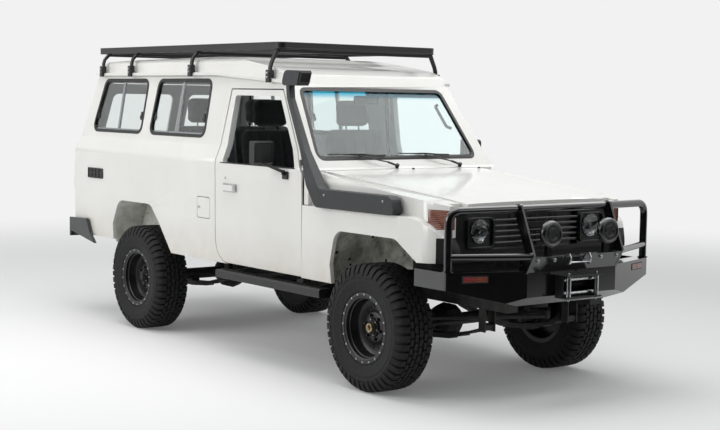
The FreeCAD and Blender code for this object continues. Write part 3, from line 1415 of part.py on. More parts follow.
# Steering knuckles: a housing round the axle ball, open towards the axle, with the spindle and arms.
housing = d.knuckle_radius
socket = d.knuckle_radius - 16
housing_section = [(18, housing * 0.985), (-housing * 0.3, housing * 0.954), (-housing * 0.65, housing * 0.76),
                   (-housing * 0.9, housing * 0.436), (-housing, 0), (-socket, 0), (-socket * 0.87, socket * 0.5),
                   (-socket * 0.5, socket * 0.87), (0, socket), (18, socket * 0.98)]
arm_thickness = as_size(18)
arm_low = d.tie_rod_height - hub_height - arm_thickness / 2
spindle_end = half_track - d.kingpin_y + 18
knuckle_form = fuse("knuckle_form", [
    solid("knuckle_housing", turned_facets(housing_section, 14)),
    round_bar("kingpin_cap_low", "z", (0, 0), 34, -(housing + 24), -(socket + 2), 12),
    round_bar("kingpin_cap_high", "z", (0, 0), 34, socket + 2, housing + 24),
    round_bar("spindle", "y", (0, 0), d.spindle_radius, -spindle_end, -(socket + 2)),
    block("steering_arm", (socket + 4, d.arm_length), (-17, 17), (arm_low, arm_low + arm_thickness)),
    round_bar("steering_arm_eye", "z", (d.arm_length, 0), 19, arm_low, arm_low + arm_thickness, 12),
])


sub_part("knuckle_left", mirrored("knuckle_left", knuckle_form), 0, d.kingpin_y, hub_height)
sub_part("knuckle_right", same("knuckle_right", knuckle_form), 0, -d.kingpin_y, hub_height)

# Tie rod under the arms and drag link over them, each with a ball housing at its ends.
housing_radius = as_size(21)
rod_high = d.tie_rod_height - arm_thickness / 2 - d.seat_gap
rod_low = rod_high - 2 * d.link_radius


def link(name, start, end, low):
    """A rod between two places in plan, with a round ball housing at each end."""
    centre = low + d.link_radius
    pieces = [solid(name + "_rod", tube_shape([(start[0], start[1], centre), (end[0], end[1], centre)], d.link_radius * 0.95, 0, 10))]
    for number, place in enumerate((start, end)):
        pieces.append(round_bar(name + "_housing_" + str(number), "z", place, housing_radius, low, low + 2 * d.link_radius, 12 * number))
    return fuse(name, pieces)


sub_part("tie_rod", link("tie_rod", (d.arm_length, -d.kingpin_y), (d.arm_length, d.kingpin_y), rod_low))
link_low = d.tie_rod_height + arm_thickness / 2 + d.seat_gap
pitman_tip_x = d.pitman_x + d.arm_length
sub_part("drag_link", link("drag_link", (d.arm_length, -d.kingpin_y), (pitman_tip_x, d.pitman_y), link_low))

pitman_low = link_low + 2 * d.link_radius + d.seat_gap
pitman_high = pitman_low + 24
pitman_pieces = [
    block("pitman_bar", (d.pitman_x, pitman_tip_x), (d.pitman_y - 18, d.pitman_y + 18), (pitman_low, pitman_low + arm_thickness)),
    round_bar("pitman_hub", "z", (d.pitman_x, d.pitman_y), 28, pitman_low, pitman_high),
    round_bar("pitman_eye", "z", (pitman_tip_x, d.pitman_y), 20, pitman_low, pitman_low + arm_thickness, 10),
]
sub_part("pitman_arm", fuse("pitman_arm", pitman_pieces))

# Steering box on the left rail, its shaft to the firewall, and the column inside.
box_low = pitman_high + d.seat_gap
box_high = box_low + 190
box_wall_y = d.pitman_y - 26
column_y = as_size(380)
shaft_head = (d.cowl_x + 60, 350, 1040)
steering_box_shape = Part.makeBox(130, (rail_inner - d.seat_gap - box_wall_y).value, 190,
                                  vector((d.pitman_x - 65, box_wall_y, box_low)))
steering_shaft = tube_shape([(d.pitman_x, 270, box_high - 10), shaft_head], 14, 0, 10)
steering_joint = tube_shape([(d.cowl_x + d.seat_gap, 350, 1040), (d.cowl_x + 66, 350, 1040)], 24, 0, 10)
sub_part("steering_gear", solid("steering_gear", steering_box_shape.fuse([steering_shaft, steering_joint])))

# Dashboard with the instrument hood on the left, and the column shroud.
dash_front = d.cowl_x - d.wall - d.seat_gap
dash = side_view("dash", [
    (dash_front, 1010), (dash_front, 1340), (-800, 1352, 15), (-990, 1338, 40), (-1050, 1240, 40), (-1000, 1010, 30)], -752, 752)
hood = side_view("hood", [(-840, 1340), (-860, 1392, 25), (-1010, 1392, 25), (-1030, 1300)], column_y - 160, column_y + 160)
wheel_lean = math.radians(22)
wheel_axis = FreeCAD.Vector(-math.cos(wheel_lean), 0, math.sin(wheel_lean))
wheel_centre = vector((-1095, column_y, 1262))
shroud_start = wheel_centre - wheel_axis * 146
shroud = solid("column_shroud", tube_shape([shroud_start, wheel_centre - wheel_axis * 24.3], 42, 0, 14))
sub_part("dashboard", fuse("dashboard", [dash, hood, shroud]))

# Steering wheel on the column: a padded rim on three spokes.
grip = 14
wheel_rim_radius = 188
rim_section = [(grip * math.cos(a), wheel_rim_radius + grip * math.sin(a)) for a in [math.pi / 4 * k for k in range(8)]]
wheel_rim = turned_facets(rim_section, 20)
wheel_rim.Placement = FreeCAD.Placement(wheel_centre, FreeCAD.Rotation(FreeCAD.Vector(0, 1, 0), wheel_axis))
wheel_hub = Part.makeCylinder(48, 34, wheel_centre - wheel_axis * 24, wheel_axis)
across = FreeCAD.Vector(0, 1, 0)
downward = wheel_axis.cross(across)
downward = downward * (-1 if downward.z > 0 else 1)
spokes = [tube_shape([wheel_centre, wheel_centre + direction * (wheel_rim_radius - 2)], 11, 0, 8)
          for direction in (across, across * -1, downward)]
sub_part("steering_wheel", solid("steering_wheel", wheel_hub.fuse([wheel_rim] + spokes)))

# Seats: plain cushions and backs with headrests, on low bases.
def seat(name, x, y, width):
    """A seat facing forward: base, cushion, back and headrest in one closed form."""
    half = as_size(width) / 2
    base = block(name + "_base", (x - 430, x + 10), (y - half + 40, y + half - 40), (floor_top + d.seat_gap, 960))
    cushion = side_view(name + "_cushion", [(x - 470, 950), (x + 40, 960), (x + 50, 1095, 50), (x - 430, 1070)], y - half, y + half)
    back = side_view(name + "_back", [(x - 500, 1000), (x - 400, 1000), (x - 470, 1600, 50), (x - 590, 1600)], y - half, y + half)
    rest = side_view(name + "_rest", [(x - 600, 1640), (x - 500, 1640), (x - 515, 1830, 40), (x - 600, 1830)], y - 130, y + 130)
    posts = block(name + "_posts", (x - 560, x - 540), (y - 70, y + 70), (1580, 1660))
    return fuse(name, [base, cushion, back, rest, posts])


sub_part("front_seats", group("front_seats", [seat("seat_right", -1290, -380, 520), seat("seat_left", -1290, 380, 520)]))
sub_part("rear_seats", group("rear_seats", [seat("bench_right", -2420, -275, 520), seat("bench_left", -2420, 275, 520)]))

# Bull bar: a folded pan with swept wings, a winch cover between two bent uprights, and tube loops.
pan_inner = as_size(60)
pan_plan = [
    (d.bar_tip_rear_x, -d.bar_half), (d.bar_corner_x, -d.bar_half, 30), (d.bar_front_x, -d.bar_face_half),
    (d.bar_front_x, d.bar_face_half), (d.bar_corner_x, d.bar_half, 30), (d.bar_tip_rear_x, d.bar_half),
    (d.bar_tip_rear_x, d.bar_half - pan_inner), (d.bar_corner_x - 75, d.bar_half - pan_inner), (d.rail_front_x + d.seat_gap, rail_outer + 60),
    (d.rail_front_x + d.seat_gap, -(rail_outer + 60)), (d.bar_corner_x - 75, -(d.bar_half - pan_inner)),
    (d.bar_tip_rear_x, -(d.bar_half - pan_inner)),
]
pan_front = [
    (-half_reach, d.pan_tip_low_height + 5), (-d.bar_half, d.pan_tip_low_height), (-d.bar_face_half, d.pan_low_height),
    (d.bar_face_half, d.pan_low_height), (d.bar_half, d.pan_tip_low_height), (half_reach, d.pan_tip_low_height + 5),
    (half_reach, d.pan_top_height), (-half_reach, d.pan_top_height),
]
pan_side = [
    (400, d.pan_low_height - 100), (d.pan_lip_x, d.pan_low_height - 100), (d.pan_lip_x, d.pan_low_height),
    (d.bar_front_x, d.pan_face_low_height), (1200, d.pan_face_low_height), (1200, d.pan_top_height + 100), (400, d.pan_top_height + 100),
]
pan = common("pan", [
    plan_view("pan_plan", pan_plan, 500, 1000),
    end_view("pan_front", pan_front, 400, 1200),
    side_view("pan_side", pan_side, -half_reach, half_reach),
])
fairlead_half = as_size(150)
fairlead_low = as_size(666)
fairlead_high = as_size(808)
plate_thickness = as_size(10)
winch_hole = block("winch_hole", (d.bar_front_x - 70, 1200), (-(fairlead_half - 16), fairlead_half - 16),
                   (fairlead_low + 24, fairlead_high - 20))
tube_y = d.bar_half - 26
tube_x = d.bar_corner_x - 23
top_tube = solid("top_tube", tube_shape([
    (tube_x, -tube_y, d.pan_top_height - 10), (tube_x, -tube_y, d.hoop_top_height - 6),
    (d.hoop_top_x, -d.bar_face_half - 20, d.hoop_top_height), (d.hoop_top_x, d.bar_face_half + 20, d.hoop_top_height),
    (tube_x, tube_y, d.hoop_top_height - 6), (tube_x, tube_y, d.pan_top_height - 10)], d.tube_radius, d.tube_bend, 10))
foot_x = d.bar_front_x + 9
uprights = []
low_tubes = []
for side, sign in (("right", -1), ("left", 1)):
    inner = (d.bar_face_half - d.upright_thickness / 2) * sign
    outer = (d.bar_face_half + d.upright_thickness / 2) * sign
    uprights.append(side_view("upright_" + side, [
        (foot_x - 90, d.pan_top_height - 20), (foot_x - 12, d.pan_top_height - 20), (d.knee_x, d.knee_height),
        (d.upright_top_x, d.hoop_top_height + 34, 20), (d.upright_top_x - d.upright_width, d.hoop_top_height + 22, 20),
        (d.knee_x - d.upright_width - 4, d.knee_height - 5)],
        inner if sign > 0 else outer, outer if sign > 0 else inner))
    low_tubes.append(solid("low_tube_" + side, tube_shape([
        (tube_x, tube_y * sign, d.hoop_low_height), (d.knee_x - 38, d.bar_face_half * sign, d.hoop_low_height)], d.tube_radius - 3, 0, 10)))
cover_top = d.knee_height - 12
cover = side_view("winch_cover", [
    (foot_x - 16, d.pan_top_height - 10), (foot_x - 16 + d.cover_thickness, d.pan_top_height - 10), (d.knee_x - 8, cover_top),
    (d.knee_x - 70, cover_top), (d.knee_x - 70, cover_top - d.cover_thickness), (d.knee_x - 20, cover_top - d.cover_thickness)],
    -(d.bar_face_half - 2), d.bar_face_half - 2)
sub_part("bull_bar", fuse("bull_bar", [cut("pan_open", pan, winch_hole), top_tube, cover] + low_tubes + uprights))

# Roller fairlead on the pan's face, and the pair of driving lamps on the winch cover.
plate_x = d.bar_front_x + d.seat_gap
roller_x = d.front_overhang - d.roller_radius - 4
fairlead_pieces = [
    block("fairlead_top", (plate_x, d.front_overhang), (-fairlead_half, fairlead_half), (fairlead_high - plate_thickness, fairlead_high)),
    block("fairlead_low", (plate_x, d.front_overhang), (-fairlead_half, fairlead_half), (fairlead_low, fairlead_low + plate_thickness)),
    round_bar("roller_low", "y", (roller_x - 38, fairlead_low + 28), d.roller_radius - 2, -(fairlead_half - 4), fairlead_half - 4, 12),
    round_bar("roller_high", "y", (roller_x - 38, fairlead_high - 28), d.roller_radius - 2, -(fairlead_half - 4), fairlead_half - 4, 12),
]
for side, sign in (("right", -1), ("left", 1)):
    span = sorted((fairlead_half * sign, (fairlead_half - plate_thickness) * sign), key=lambda size: size.value)
    fairlead_pieces.append(block("fairlead_cheek_" + side, (plate_x, roller_x - 18), span, (fairlead_low, fairlead_high)))
    fairlead_pieces.append(round_bar("roller_" + side, "z", (roller_x, d.roller_y * sign), d.roller_radius,
                                     fairlead_low + plate_thickness - 1, fairlead_high - plate_thickness + 1, 12))
sub_part("fairlead", fuse("fairlead", fairlead_pieces))
lamp_back_x = d.knee_x - 60
driving_lamps = []
for side, y in (("right", -d.driving_lamp_y), ("left", d.driving_lamp_y)):
    driving_lamps.append(fuse("driving_lamp_" + side, [
        round_bar("driving_lamp_shell_" + side, "x", (y, d.driving_lamp_height), d.driving_lamp_radius, lamp_back_x + 22, lamp_back_x + 72, 20),
        round_bar("driving_lamp_back_" + side, "x", (y, d.driving_lamp_height), d.driving_lamp_radius - 22, lamp_back_x, lamp_back_x + 30, 12),
        block("driving_lamp_foot_" + side, (lamp_back_x + 20, lamp_back_x + 44), (y - 22, y + 22),
              (cover_top + d.seat_gap, d.driving_lamp_height - d.driving_lamp_radius + 12)),
    ]))
sub_part("driving_lamps", group("driving_lamps", driving_lamps))

# Snorkel along the right wing and up the windscreen pillar, with a forward-facing head.
ledge = d.wing_ledge_height + 5
ledge_rise = as_size(6) / (420 - d.wing_rear_x)
snorkel_inner = d.wing_upper_half + 12.5
snorkel_outer = d.wing_upper_half + 90
arm_top = ledge + 118
snorkel_duct = common("snorkel_duct", [
    side_view("snorkel_side", [
        (292, d.wing_ledge_height + (292 - d.wing_rear_x) * ledge_rise + d.seat_gap, 30), (256, arm_top, 50), (-500, arm_top, 60), (-703, 1500, 200), (-984, 1850), (-1010, 1960),
        (-1048, 1960), (-1024, 1850), (-757, 1500, 200), (-645, ledge + 133, 120), (-545, d.wing_ledge_height + (-545 - d.wing_rear_x) * ledge_rise + d.seat_gap, 60),
    ], -half_reach, -600),
    end_view("snorkel_across", [
        (-snorkel_inner, 1100), (-snorkel_inner, 1330, 60), (-(d.shoulder_half + 5), 1500), (-750, 1850), (-736, 1990),
        (-784, 1990), (-794, 1850), (-(d.shoulder_half + 58), 1500, 200), (-snorkel_outer, arm_top + 30, 100), (-snorkel_outer, 1100),
    ], -1200, 400),
])
snorkel_head = side_view("snorkel_head", [
    (-1035, 1935, 25), (-850, 1935, 10), (-815, 2036, 10), (-1000, 2040, 50)], -834, -734)
sub_part("snorkel", fuse("snorkel", [snorkel_duct, snorkel_head]))

# Roof rack: a perimeter rail, cross slats and eight legs in the gutters.
rail = d.rack_rail_width
rack_outer = plan_view("rack_outer", [(d.rack_rear_x, -d.rack_half, 60), (d.rack_front_x, -d.rack_half, 60),
                                      (d.rack_front_x, d.rack_half, 60), (d.rack_rear_x, d.rack_half, 60)], d.rack_low_height, d.rack_top_height)
rack_inner = plan_view("rack_inner", [(d.rack_rear_x + rail, -(d.rack_half - rail), 30), (d.rack_front_x - rail, -(d.rack_half - rail), 30),
                                      (d.rack_front_x - rail, d.rack_half - rail, 30), (d.rack_rear_x + rail, d.rack_half - rail, 30)],
                       d.rack_low_height - 10, d.rack_top_height + 10)
rack_pitch = (d.rack_front_x - d.rack_rear_x) / d.rack_slats
slat_top = d.rack_top_height - 4
rack_slats = []
for i in range(DIMENSIONS["rack_slats"]):
    middle = d.rack_rear_x + rack_pitch * (i + 0.5)
    rack_slats.append(block("rack_slat_" + str(i), (middle - d.rack_slat_width / 2, middle + d.rack_slat_width / 2),
                            (-(d.rack_half - rail + 5), d.rack_half - rail + 5), (slat_top - d.rack_slat_thickness, slat_top)))
rack_legs = []
foot_inner = gutter_reach - 13
foot_outer = gutter_reach + 18
for i, (x, foot) in enumerate(((-3800, d.gutter_height + gutter_lip), (-3310, d.gutter_height + gutter_lip),
                               (-2360, d.gutter_height + gutter_lip), (-1290, d.brow_height + gutter_lip - 4))):
    for side in (-1, 1):
        outline = [(side * foot_inner, foot + d.seat_gap), (side * foot_outer, foot + d.seat_gap),
                   (side * (d.rack_half - 8), d.rack_low_height + 5), (side * (d.rack_half - 40), d.rack_low_height + 5)]
        rack_legs.append(end_view("rack_leg_" + str(i) + ("_right" if side < 0 else "_left"), outline, x - 22, x + 22))
sub_part("roof_rack", fuse("roof_rack", [cut("rack_frame", rack_outer, rack_inner)] + rack_slats + rack_legs))

# Rear bumper: a beam on the frame ends with a short wrap round each corner.
bumper_rear_x = rear_axle_x - d.rear_overhang
wrap_inner = d.belt_half + 3
wrap_outer = d.belt_half + 27
wraps = [side_view("bumper_wrap_" + side, [
    (bumper_rear_x, 690), (bumper_rear_x, 800), (-3885, 809), (-3824, 695), (-3735, 612)], span[0], span[1])
    for side, span in (("right", (-wrap_outer, -wrap_inner)), ("left", (wrap_inner, wrap_outer)))]
beam = block("bumper_beam", (bumper_rear_x, d.rear_waist_x - d.seat_gap), (-wrap_outer, wrap_outer), (640, 790))
bumper_brackets = [block("bumper_bracket_" + side, (d.rear_waist_x - 5, d.rear_foot_x - d.seat_gap), span, (642, 670))
                   for side, span in (("right", (-rail_outer, -rail_inner)), ("left", (rail_inner, rail_outer)))]
sub_part("rear_bumper", fuse("rear_bumper", [beam] + wraps + bumper_brackets))

# Side steps on brackets from the rails.
step_pieces = []
for side, sign in (("right", -1), ("left", 1)):
    tread = end_view("step_" + side, [(sign * 905, 545, 12), (sign * 905, 605, 12), (sign * 800, 605, 12), (sign * 800, 545, 12)], -1750, -460)
    brackets = []
    for i, x in enumerate((-620, -1180, -1640)):
        brackets.append(end_view("step_bracket_" + side + str(i), [
            (sign * (rail_outer + d.seat_gap), 590), (sign * (rail_outer + d.seat_gap), 650), (sign * 810, 600), (sign * 810, 560)], x - 20, x + 20))
    step_pieces.append(fuse("side_step_" + side, [tread] + brackets))
sub_part("side_steps", group("side_steps", step_pieces))

# Wheels: a tyre with staggered shoulder lugs on a deep-dished steel rim with its hub.
half_tyre = d.tyre_width / 2
half_rim = d.rim_width / 2
bead_half = half_rim - 14
tread_half = d.tread_width / 2
tyre_profile = [
    (-bead_half, d.rim_radius),
    (-bead_half, d.rim_flange + 4),
    (-half_tyre, d.rim_flange + 74),
    (-(half_tyre - 4), d.carcass_radius - 62),
    (-(tread_half - 4), d.carcass_radius),
]
tyre_outline = tyre_profile + [(-point[0], point[1]) for point in reversed(tyre_profile)]
lugs_round = 12
lug_step = 360 / lugs_round
lug_outline = [
    (34, d.carcass_radius - 12), (34, d.wheel_radius), (tread_half - 4, d.wheel_radius), (tread_half + 16, d.wheel_radius - 28),
    (tread_half - 14, d.carcass_radius - 40)]


def lug(side, turn):
    """One shoulder lug, drawn on the side at the top of the wheel and turned to its place."""
    half_width = d.lug_width.value / 2
    corners = [FreeCAD.Vector(-half_width, as_size(y).value * side, as_size(z).value) for y, z in lug_outline]
    item = Part.Face(Part.makePolygon(corners + corners[:1])).extrude(FreeCAD.Vector(2 * half_width, 0, 0))
    item.rotate(FreeCAD.Vector(0, 0, 0), FreeCAD.Vector(0, 1, 0), turn)
    return item


lugs = [lug(1, lug_step * k) for k in range(lugs_round)] + [lug(-1, lug_step * (k + 0.5)) for k in range(lugs_round)]
tyre_shape = turned_facets(tyre_outline, 2 * lugs_round).fuse(lugs)
rim_barrel = d.rim_radius - d.seat_gap
bead_seat = bead_half + d.seat_gap
dish = d.rim_radius - 14
rim_outline = [
    (-half_rim, d.rim_flange), (-bead_seat, d.rim_flange), (-bead_seat, rim_barrel), (bead_seat, rim_barrel),
    (bead_seat, d.rim_flange), (half_rim, d.rim_flange), (half_rim, dish), (12, dish),
    (22, 95), (66, d.hub_radius - 18), (66, 0), (-62, 0), (-62, d.hub_radius), (0, 105), (0, dish), (-half_rim, dish),
]
spindle_hole = round_bar("spindle_hole", "y", (0, 0), (d.spindle_radius + d.seat_gap) / math.cos(math.pi / 16), -half_rim, 24, 16)
rim_form = cut("rim_form", solid("rim_blank", turned_facets(rim_outline, 2 * lugs_round)), spindle_hole)
wheel_places = [
    ("front_right", 0, -1),
    ("front_left", 0, 1),
    ("rear_right", rear_axle_x, -1),
    ("rear_left", rear_axle_x, 1),
]
for label, x, side in wheel_places:
    turn = 0 if side > 0 else 180
    sub_part("tyre_" + label, solid("tyre_" + label, tyre_shape), x, half_track * side, hub_height, turn)
    sub_part("rim_" + label, same("rim_" + label, rim_form), x, half_track * side, hub_height, turn)

doc.recompute()

failed = [item.Label for item in doc.Objects if "Invalid" in item.State or "Error" in item.State]
if failed:
    raise RuntimeError("these objects failed: " + ", ".join(failed))
os.makedirs("parts", exist_ok=True)
for item in sub_parts:
    if item.Shape.isNull() or not item.Shape.isValid():
        raise RuntimeError("this piece has no valid shape: " + item.Label)
    item.Shape.exportStep("parts/" + item.Label + ".step")
print(len(sub_parts), "sub-parts written")
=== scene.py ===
import bpy
import bmesh
import math
from mathutils import Matrix, Vector


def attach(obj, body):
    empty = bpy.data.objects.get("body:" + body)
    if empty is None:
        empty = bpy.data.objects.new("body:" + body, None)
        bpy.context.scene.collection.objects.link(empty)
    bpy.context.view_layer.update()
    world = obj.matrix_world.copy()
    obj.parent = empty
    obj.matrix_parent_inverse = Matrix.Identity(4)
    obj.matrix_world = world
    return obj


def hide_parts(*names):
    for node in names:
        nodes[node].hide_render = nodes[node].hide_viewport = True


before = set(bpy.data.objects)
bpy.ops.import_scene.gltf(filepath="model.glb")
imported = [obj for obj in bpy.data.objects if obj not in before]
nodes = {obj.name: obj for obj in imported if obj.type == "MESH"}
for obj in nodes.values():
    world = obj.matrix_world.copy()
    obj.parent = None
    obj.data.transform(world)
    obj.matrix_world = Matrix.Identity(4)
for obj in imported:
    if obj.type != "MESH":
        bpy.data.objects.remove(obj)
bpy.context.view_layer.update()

scene = bpy.context.scene

# Camera. It stands off the right front corner at eye height, with a long lens, as the photo was taken.
# All places in this file are measured from the front axle, which lies ahead of the frame's origin.
AXLE_X = 1.5725


def at(x, y, z):
    """A point whose x is measured from the front axle."""
    return Vector((AXLE_X + x, y, z))


camera_data = bpy.data.cameras.new("photo_camera")
camera_data.lens = 72.02
camera_data.sensor_width = 36
camera = bpy.data.objects.new("photo_camera", camera_data)
scene.collection.objects.link(camera)
yaw, pitch, roll = 0.92, -0.0814, 0.0161
look = Vector((-math.sin(yaw) * math.cos(pitch), math.cos(yaw) * math.cos(pitch), math.sin(pitch)))
level = look.cross(Vector((0, 0, 1))).normalized()
upward = level.cross(look)
tilted_right = level * math.cos(roll) + upward * math.sin(roll)
tilted_up = upward * math.cos(roll) - level * math.sin(roll)
toward_car = Matrix((tilted_right, tilted_up, -look)).transposed().to_4x4()
camera.matrix_world = Matrix.Translation(at(7.1405, -6.3649, 1.8615)) @ toward_car
scene.camera = camera
scene.view_settings.view_transform = "Standard"


# Studio. A white seamless sweep under large soft boxes. The sweep shows near white to the camera, in
# reflections and through the windows, and keeps the soft shadow of the car. Ahead of the car the studio
# is unlit, so that reflections toward it stay dark and the black bar keeps its depth.
def hex_colour(code):
    channels = [int(code[i:i + 2], 16) / 255 for i in (1, 3, 5)]
    linear = [c / 12.92 if c <= 0.04045 else ((c + 0.055) / 1.055) ** 2.4 for c in channels]
    return (*linear, 1.0)


def add_node(tree, kind, links=None, **settings):
    """Add one node with its settings, which are inputs or properties, and the links into it."""
    node = tree.nodes.new(kind if "Node" in kind else "ShaderNode" + kind)
    inputs = {item.name.lower().replace(" ", "_"): item for item in reversed(node.inputs)}
    for key, value in settings.items():
        if key in inputs:
            inputs[key].default_value = value
        else:
            setattr(node, key, value)
    for key, source in (links or {}).items():
        tree.links.new(source, node.inputs[key]
                       if isinstance(key, int) else inputs[key.lower().replace(" ", "_")])
    return node


def masks(operation, first, *others):
    """Masks made into one. MULTIPLY keeps what all of them cover, and MAXIMUM what any of them covers."""
    for other in others:
        first = add_node(first.id_data, "Math", {0: first, 1: other}, operation=operation).outputs[0]
    return first


def seen_directly(tree):
    """1 for what the camera, a reflection or a window shows, and 0 for what lights the car."""
    rays = add_node(tree, "LightPath").outputs
    return masks("MAXIMUM", rays["Is Camera Ray"], rays["Is Glossy Ray"], rays["Is Transmission Ray"])


def reflected_ahead(place, direction, start, end):
    """1 for a reflection that lies this far along a direction ahead of the car."""
    tree = place.id_data
    along = add_node(tree, "VectorMath", {0: place}, operation="DOT_PRODUCT")
    along.inputs[1].default_value = direction
    fade = add_node(tree, "MapRange", {"Value": along.outputs["Value"]}, from_min=start, from_max=end,
                    interpolation_type="SMOOTHSTEP")
    return masks("MULTIPLY", fade.outputs[0], add_node(tree, "LightPath").outputs["Is Glossy Ray"])


world = bpy.data.worlds.new("studio_air")
scene.world = world
world.use_nodes = True
tree = world.node_tree
tree.nodes.clear()
ambient = add_node(tree, "Background", color=hex_colour("#F2F4F6"), strength=0.56)
backdrop = add_node(tree, "Background", color=hex_colour("#F2F2F2"), strength=1.0)
unlit_end = add_node(tree, "Background", color=hex_colour("#2A2A2B"), strength=1.0)
to_unlit_end = reflected_ahead(add_node(tree, "TexCoord").outputs["Generated"], (0.8, -0.6, -0.35), 0.25, 0.6)
around = add_node(tree, "MixShader", {0: to_unlit_end, 1: backdrop.outputs[0], 2: unlit_end.outputs[0]})
air = add_node(tree, "MixShader", {0: seen_directly(tree), 1: ambient.outputs[0], 2: around.outputs[0]})
add_node(tree, "OutputWorld", {"Surface": air.outputs[0]})


def soft_box(name, place, aim, size, power, in_gloss_only=False):
    data = bpy.data.lights.new(name, "AREA")
    data.shape = "RECTANGLE"
    data.size, data.size_y = size
    data.energy = power
    lamp = bpy.data.objects.new(name, data)
    lamp.location = place
    lamp.rotation_euler = (Vector(aim) - Vector(place)).to_track_quat("-Z", "Y").to_euler()
    lamp.visible_diffuse = not in_gloss_only
    scene.collection.objects.link(lamp)


soft_box("overhead_box", (0.3, -0.6, 6.0), (0, 0, 0), (7, 4), 228)
soft_box("left_overhead_box", (0.9, 3.9, 6.2), (0.2, 0.2, 1.0), (6, 4), 170, in_gloss_only=True)
soft_box("front_box", (7.5, 2.5, 3.6), (0.5, 0, 0.8), (4, 3), 40, in_gloss_only=True)
soft_box("side_box", (-2.5, -8.0, 4.2), (-0.3, 0, 0.9), (6, 3), 250)

SWEEP_HALF = 60
floor_mesh = bpy.data.meshes.new("studio_sweep")
floor_mesh.from_pydata([(x * SWEEP_HALF, y * SWEEP_HALF, 0) for x, y in ((-1, -1), (1, -1), (1, 1), (-1, 1))],
                       [],
                       [(0, 1, 2, 3)])
sweep = bpy.data.objects.new("studio_sweep", floor_mesh)
scene.collection.objects.link(sweep)
sweep_paint = bpy.data.materials.new("matt_white_sweep_paint")
sweep_paint.use_nodes = True
tree = sweep_paint.node_tree
tree.nodes.clear()
matt = add_node(tree, "BsdfDiffuse", color=hex_colour("#E4E4E3"))
lift = add_node(tree, "Emission", color=hex_colour("#F4F4F4"), strength=0.11)
near = add_node(tree, "AddShader", {0: matt.outputs[0], 1: lift.outputs[0]})
far = add_node(tree, "Emission", color=hex_colour("#F2F2F2"), strength=1.0)
unlit_floor = add_node(tree, "Emission", color=hex_colour("#2A2A2B"), strength=1.0)
place = add_node(tree, "TexCoord").outputs["Object"]
away = add_node(tree, "VectorMath", {0: place}, operation="LENGTH")
fade = add_node(tree, "MapRange", {"Value": away.outputs["Value"]}, from_min=4.5, from_max=12.0,
                interpolation_type="SMOOTHSTEP")
lit = add_node(tree, "MixShader", {0: fade.outputs[0], 1: near.outputs[0], 2: far.outputs[0]})
to_unlit_floor = reflected_ahead(place, (0.92, -0.38, 0.0), 3.2, 5.5)
shown = add_node(tree, "MixShader", {0: to_unlit_floor, 1: lit.outputs[0], 2: unlit_floor.outputs[0]})
chosen = add_node(tree, "MixShader", {0: seen_directly(tree), 1: matt.outputs[0], 2: shown.outputs[0]})
add_node(tree, "OutputMaterial", {"Surface": chosen.outputs[0]})
sweep.data.materials.append(sweep_paint)


# Ladder frame and running gear. Box rails and brackets in chassis paint, axles and hubs of cast iron.
# Road dust lies in every hollow, so the black shows as a dull grey-brown away from the light.
def new_finish(name, **settings):
    """A material with one shader, and the node of that shader."""
    material = bpy.data.materials.new(name)
    material.use_nodes = True
    tree = material.node_tree
    tree.nodes.clear()
    shader = add_node(tree, "BsdfPrincipled", **settings)
    add_node(tree, "OutputMaterial", {"Surface": shader.outputs[0]})
    return material, shader


def clouds(tree, patch, detail, roughness=0.5):
    """A soft pattern with patches of this size in metres, drawn on the piece's own coordinates."""
    place = add_node(tree, "TexCoord").outputs["Object"]
    noise = add_node(tree, "TexNoise", {"Vector": place}, scale=1 / patch, detail=detail, roughness=roughness)
    return noise.outputs["Fac"]


def shaded(value, dark, light, low=0.0, high=1.0):
    """A pattern turned into a colour that lies between two shades."""
    ramp = add_node(value.id_data, "ValToRGB", {"Fac": value})
    for stop, position, code in zip(ramp.color_ramp.elements, (low, high), (dark, light)):
        stop.position, stop.color = position, hex_colour(code)
    return ramp.outputs["Color"]


def raised(finish, height, strength, depth):
    """Relief of this depth in metres on a finish, from a pattern of heights."""
    tree = finish.node_tree
    bump = add_node(tree, "Bump", {"Height": height}, strength=strength, distance=depth)
    tree.links.new(bump.outputs["Normal"], tree.nodes["Principled BSDF"].inputs["Normal"])


def patchy_finish(name, patch, dark, light, low=0.35, high=0.65, grain=None, wear=None, **settings):
    """A finish whose colour drifts over patches. Grain is (size, depth), and wear is (patch, low, high)."""
    material, shader = new_finish(name, **settings)
    tree = material.node_tree
    tree.links.new(shaded(clouds(tree, patch, 5.0, 0.6), dark, light, low, high), shader.inputs["Base Color"])
    if grain:
        raised(material, clouds(tree, grain[0], 2.0), 1.0, grain[1])
    if wear:
        gloss = add_node(tree, "MapRange", {"Value": clouds(tree, wear[0], 4.0)}, from_min=0.3, from_max=0.7,
                         to_min=wear[1], to_max=wear[2])
        tree.links.new(gloss.outputs[0], shader.inputs["Roughness"])
    return material


def round_edges(thing, width, steps=2):
    bevel = thing.modifiers.new("edge_rounds", "BEVEL")
    bevel.width = width
    bevel.segments = steps
    bevel.limit_method = "ANGLE"
    bevel.angle_limit = math.radians(32)
    bevel.harden_normals = True


def dress(name, finish, edge=0.0, steps=2):
    """Give a CAD node its finish, and the rounds of its real edges where a size is given."""
    node = nodes[name]
    node.data.materials.clear()
    node.data.materials.append(finish)
    if edge:
        node.modifiers.new("weld", "WELD").merge_threshold = 0.0003
        round_edges(node, edge, steps)


# Brushed-on chassis enamel. It gives a dull black with brown-grey dust in patches the size of a hand.
chassis_paint = patchy_finish("dusty_chassis_enamel", 0.07, "#0E0F10", "#2C2A27", 0.4, 0.72,
                              grain=(0.004, 0.0003), roughness=0.55)
# Sand-cast iron. Its skin is coarse, and it holds more dust than painted steel.
cast_iron = patchy_finish("sand_cast_iron", 0.05, "#121315", "#35322E", 0.38, 0.7,
                          grain=(0.003, 0.0005), roughness=0.62, metallic=0.35)
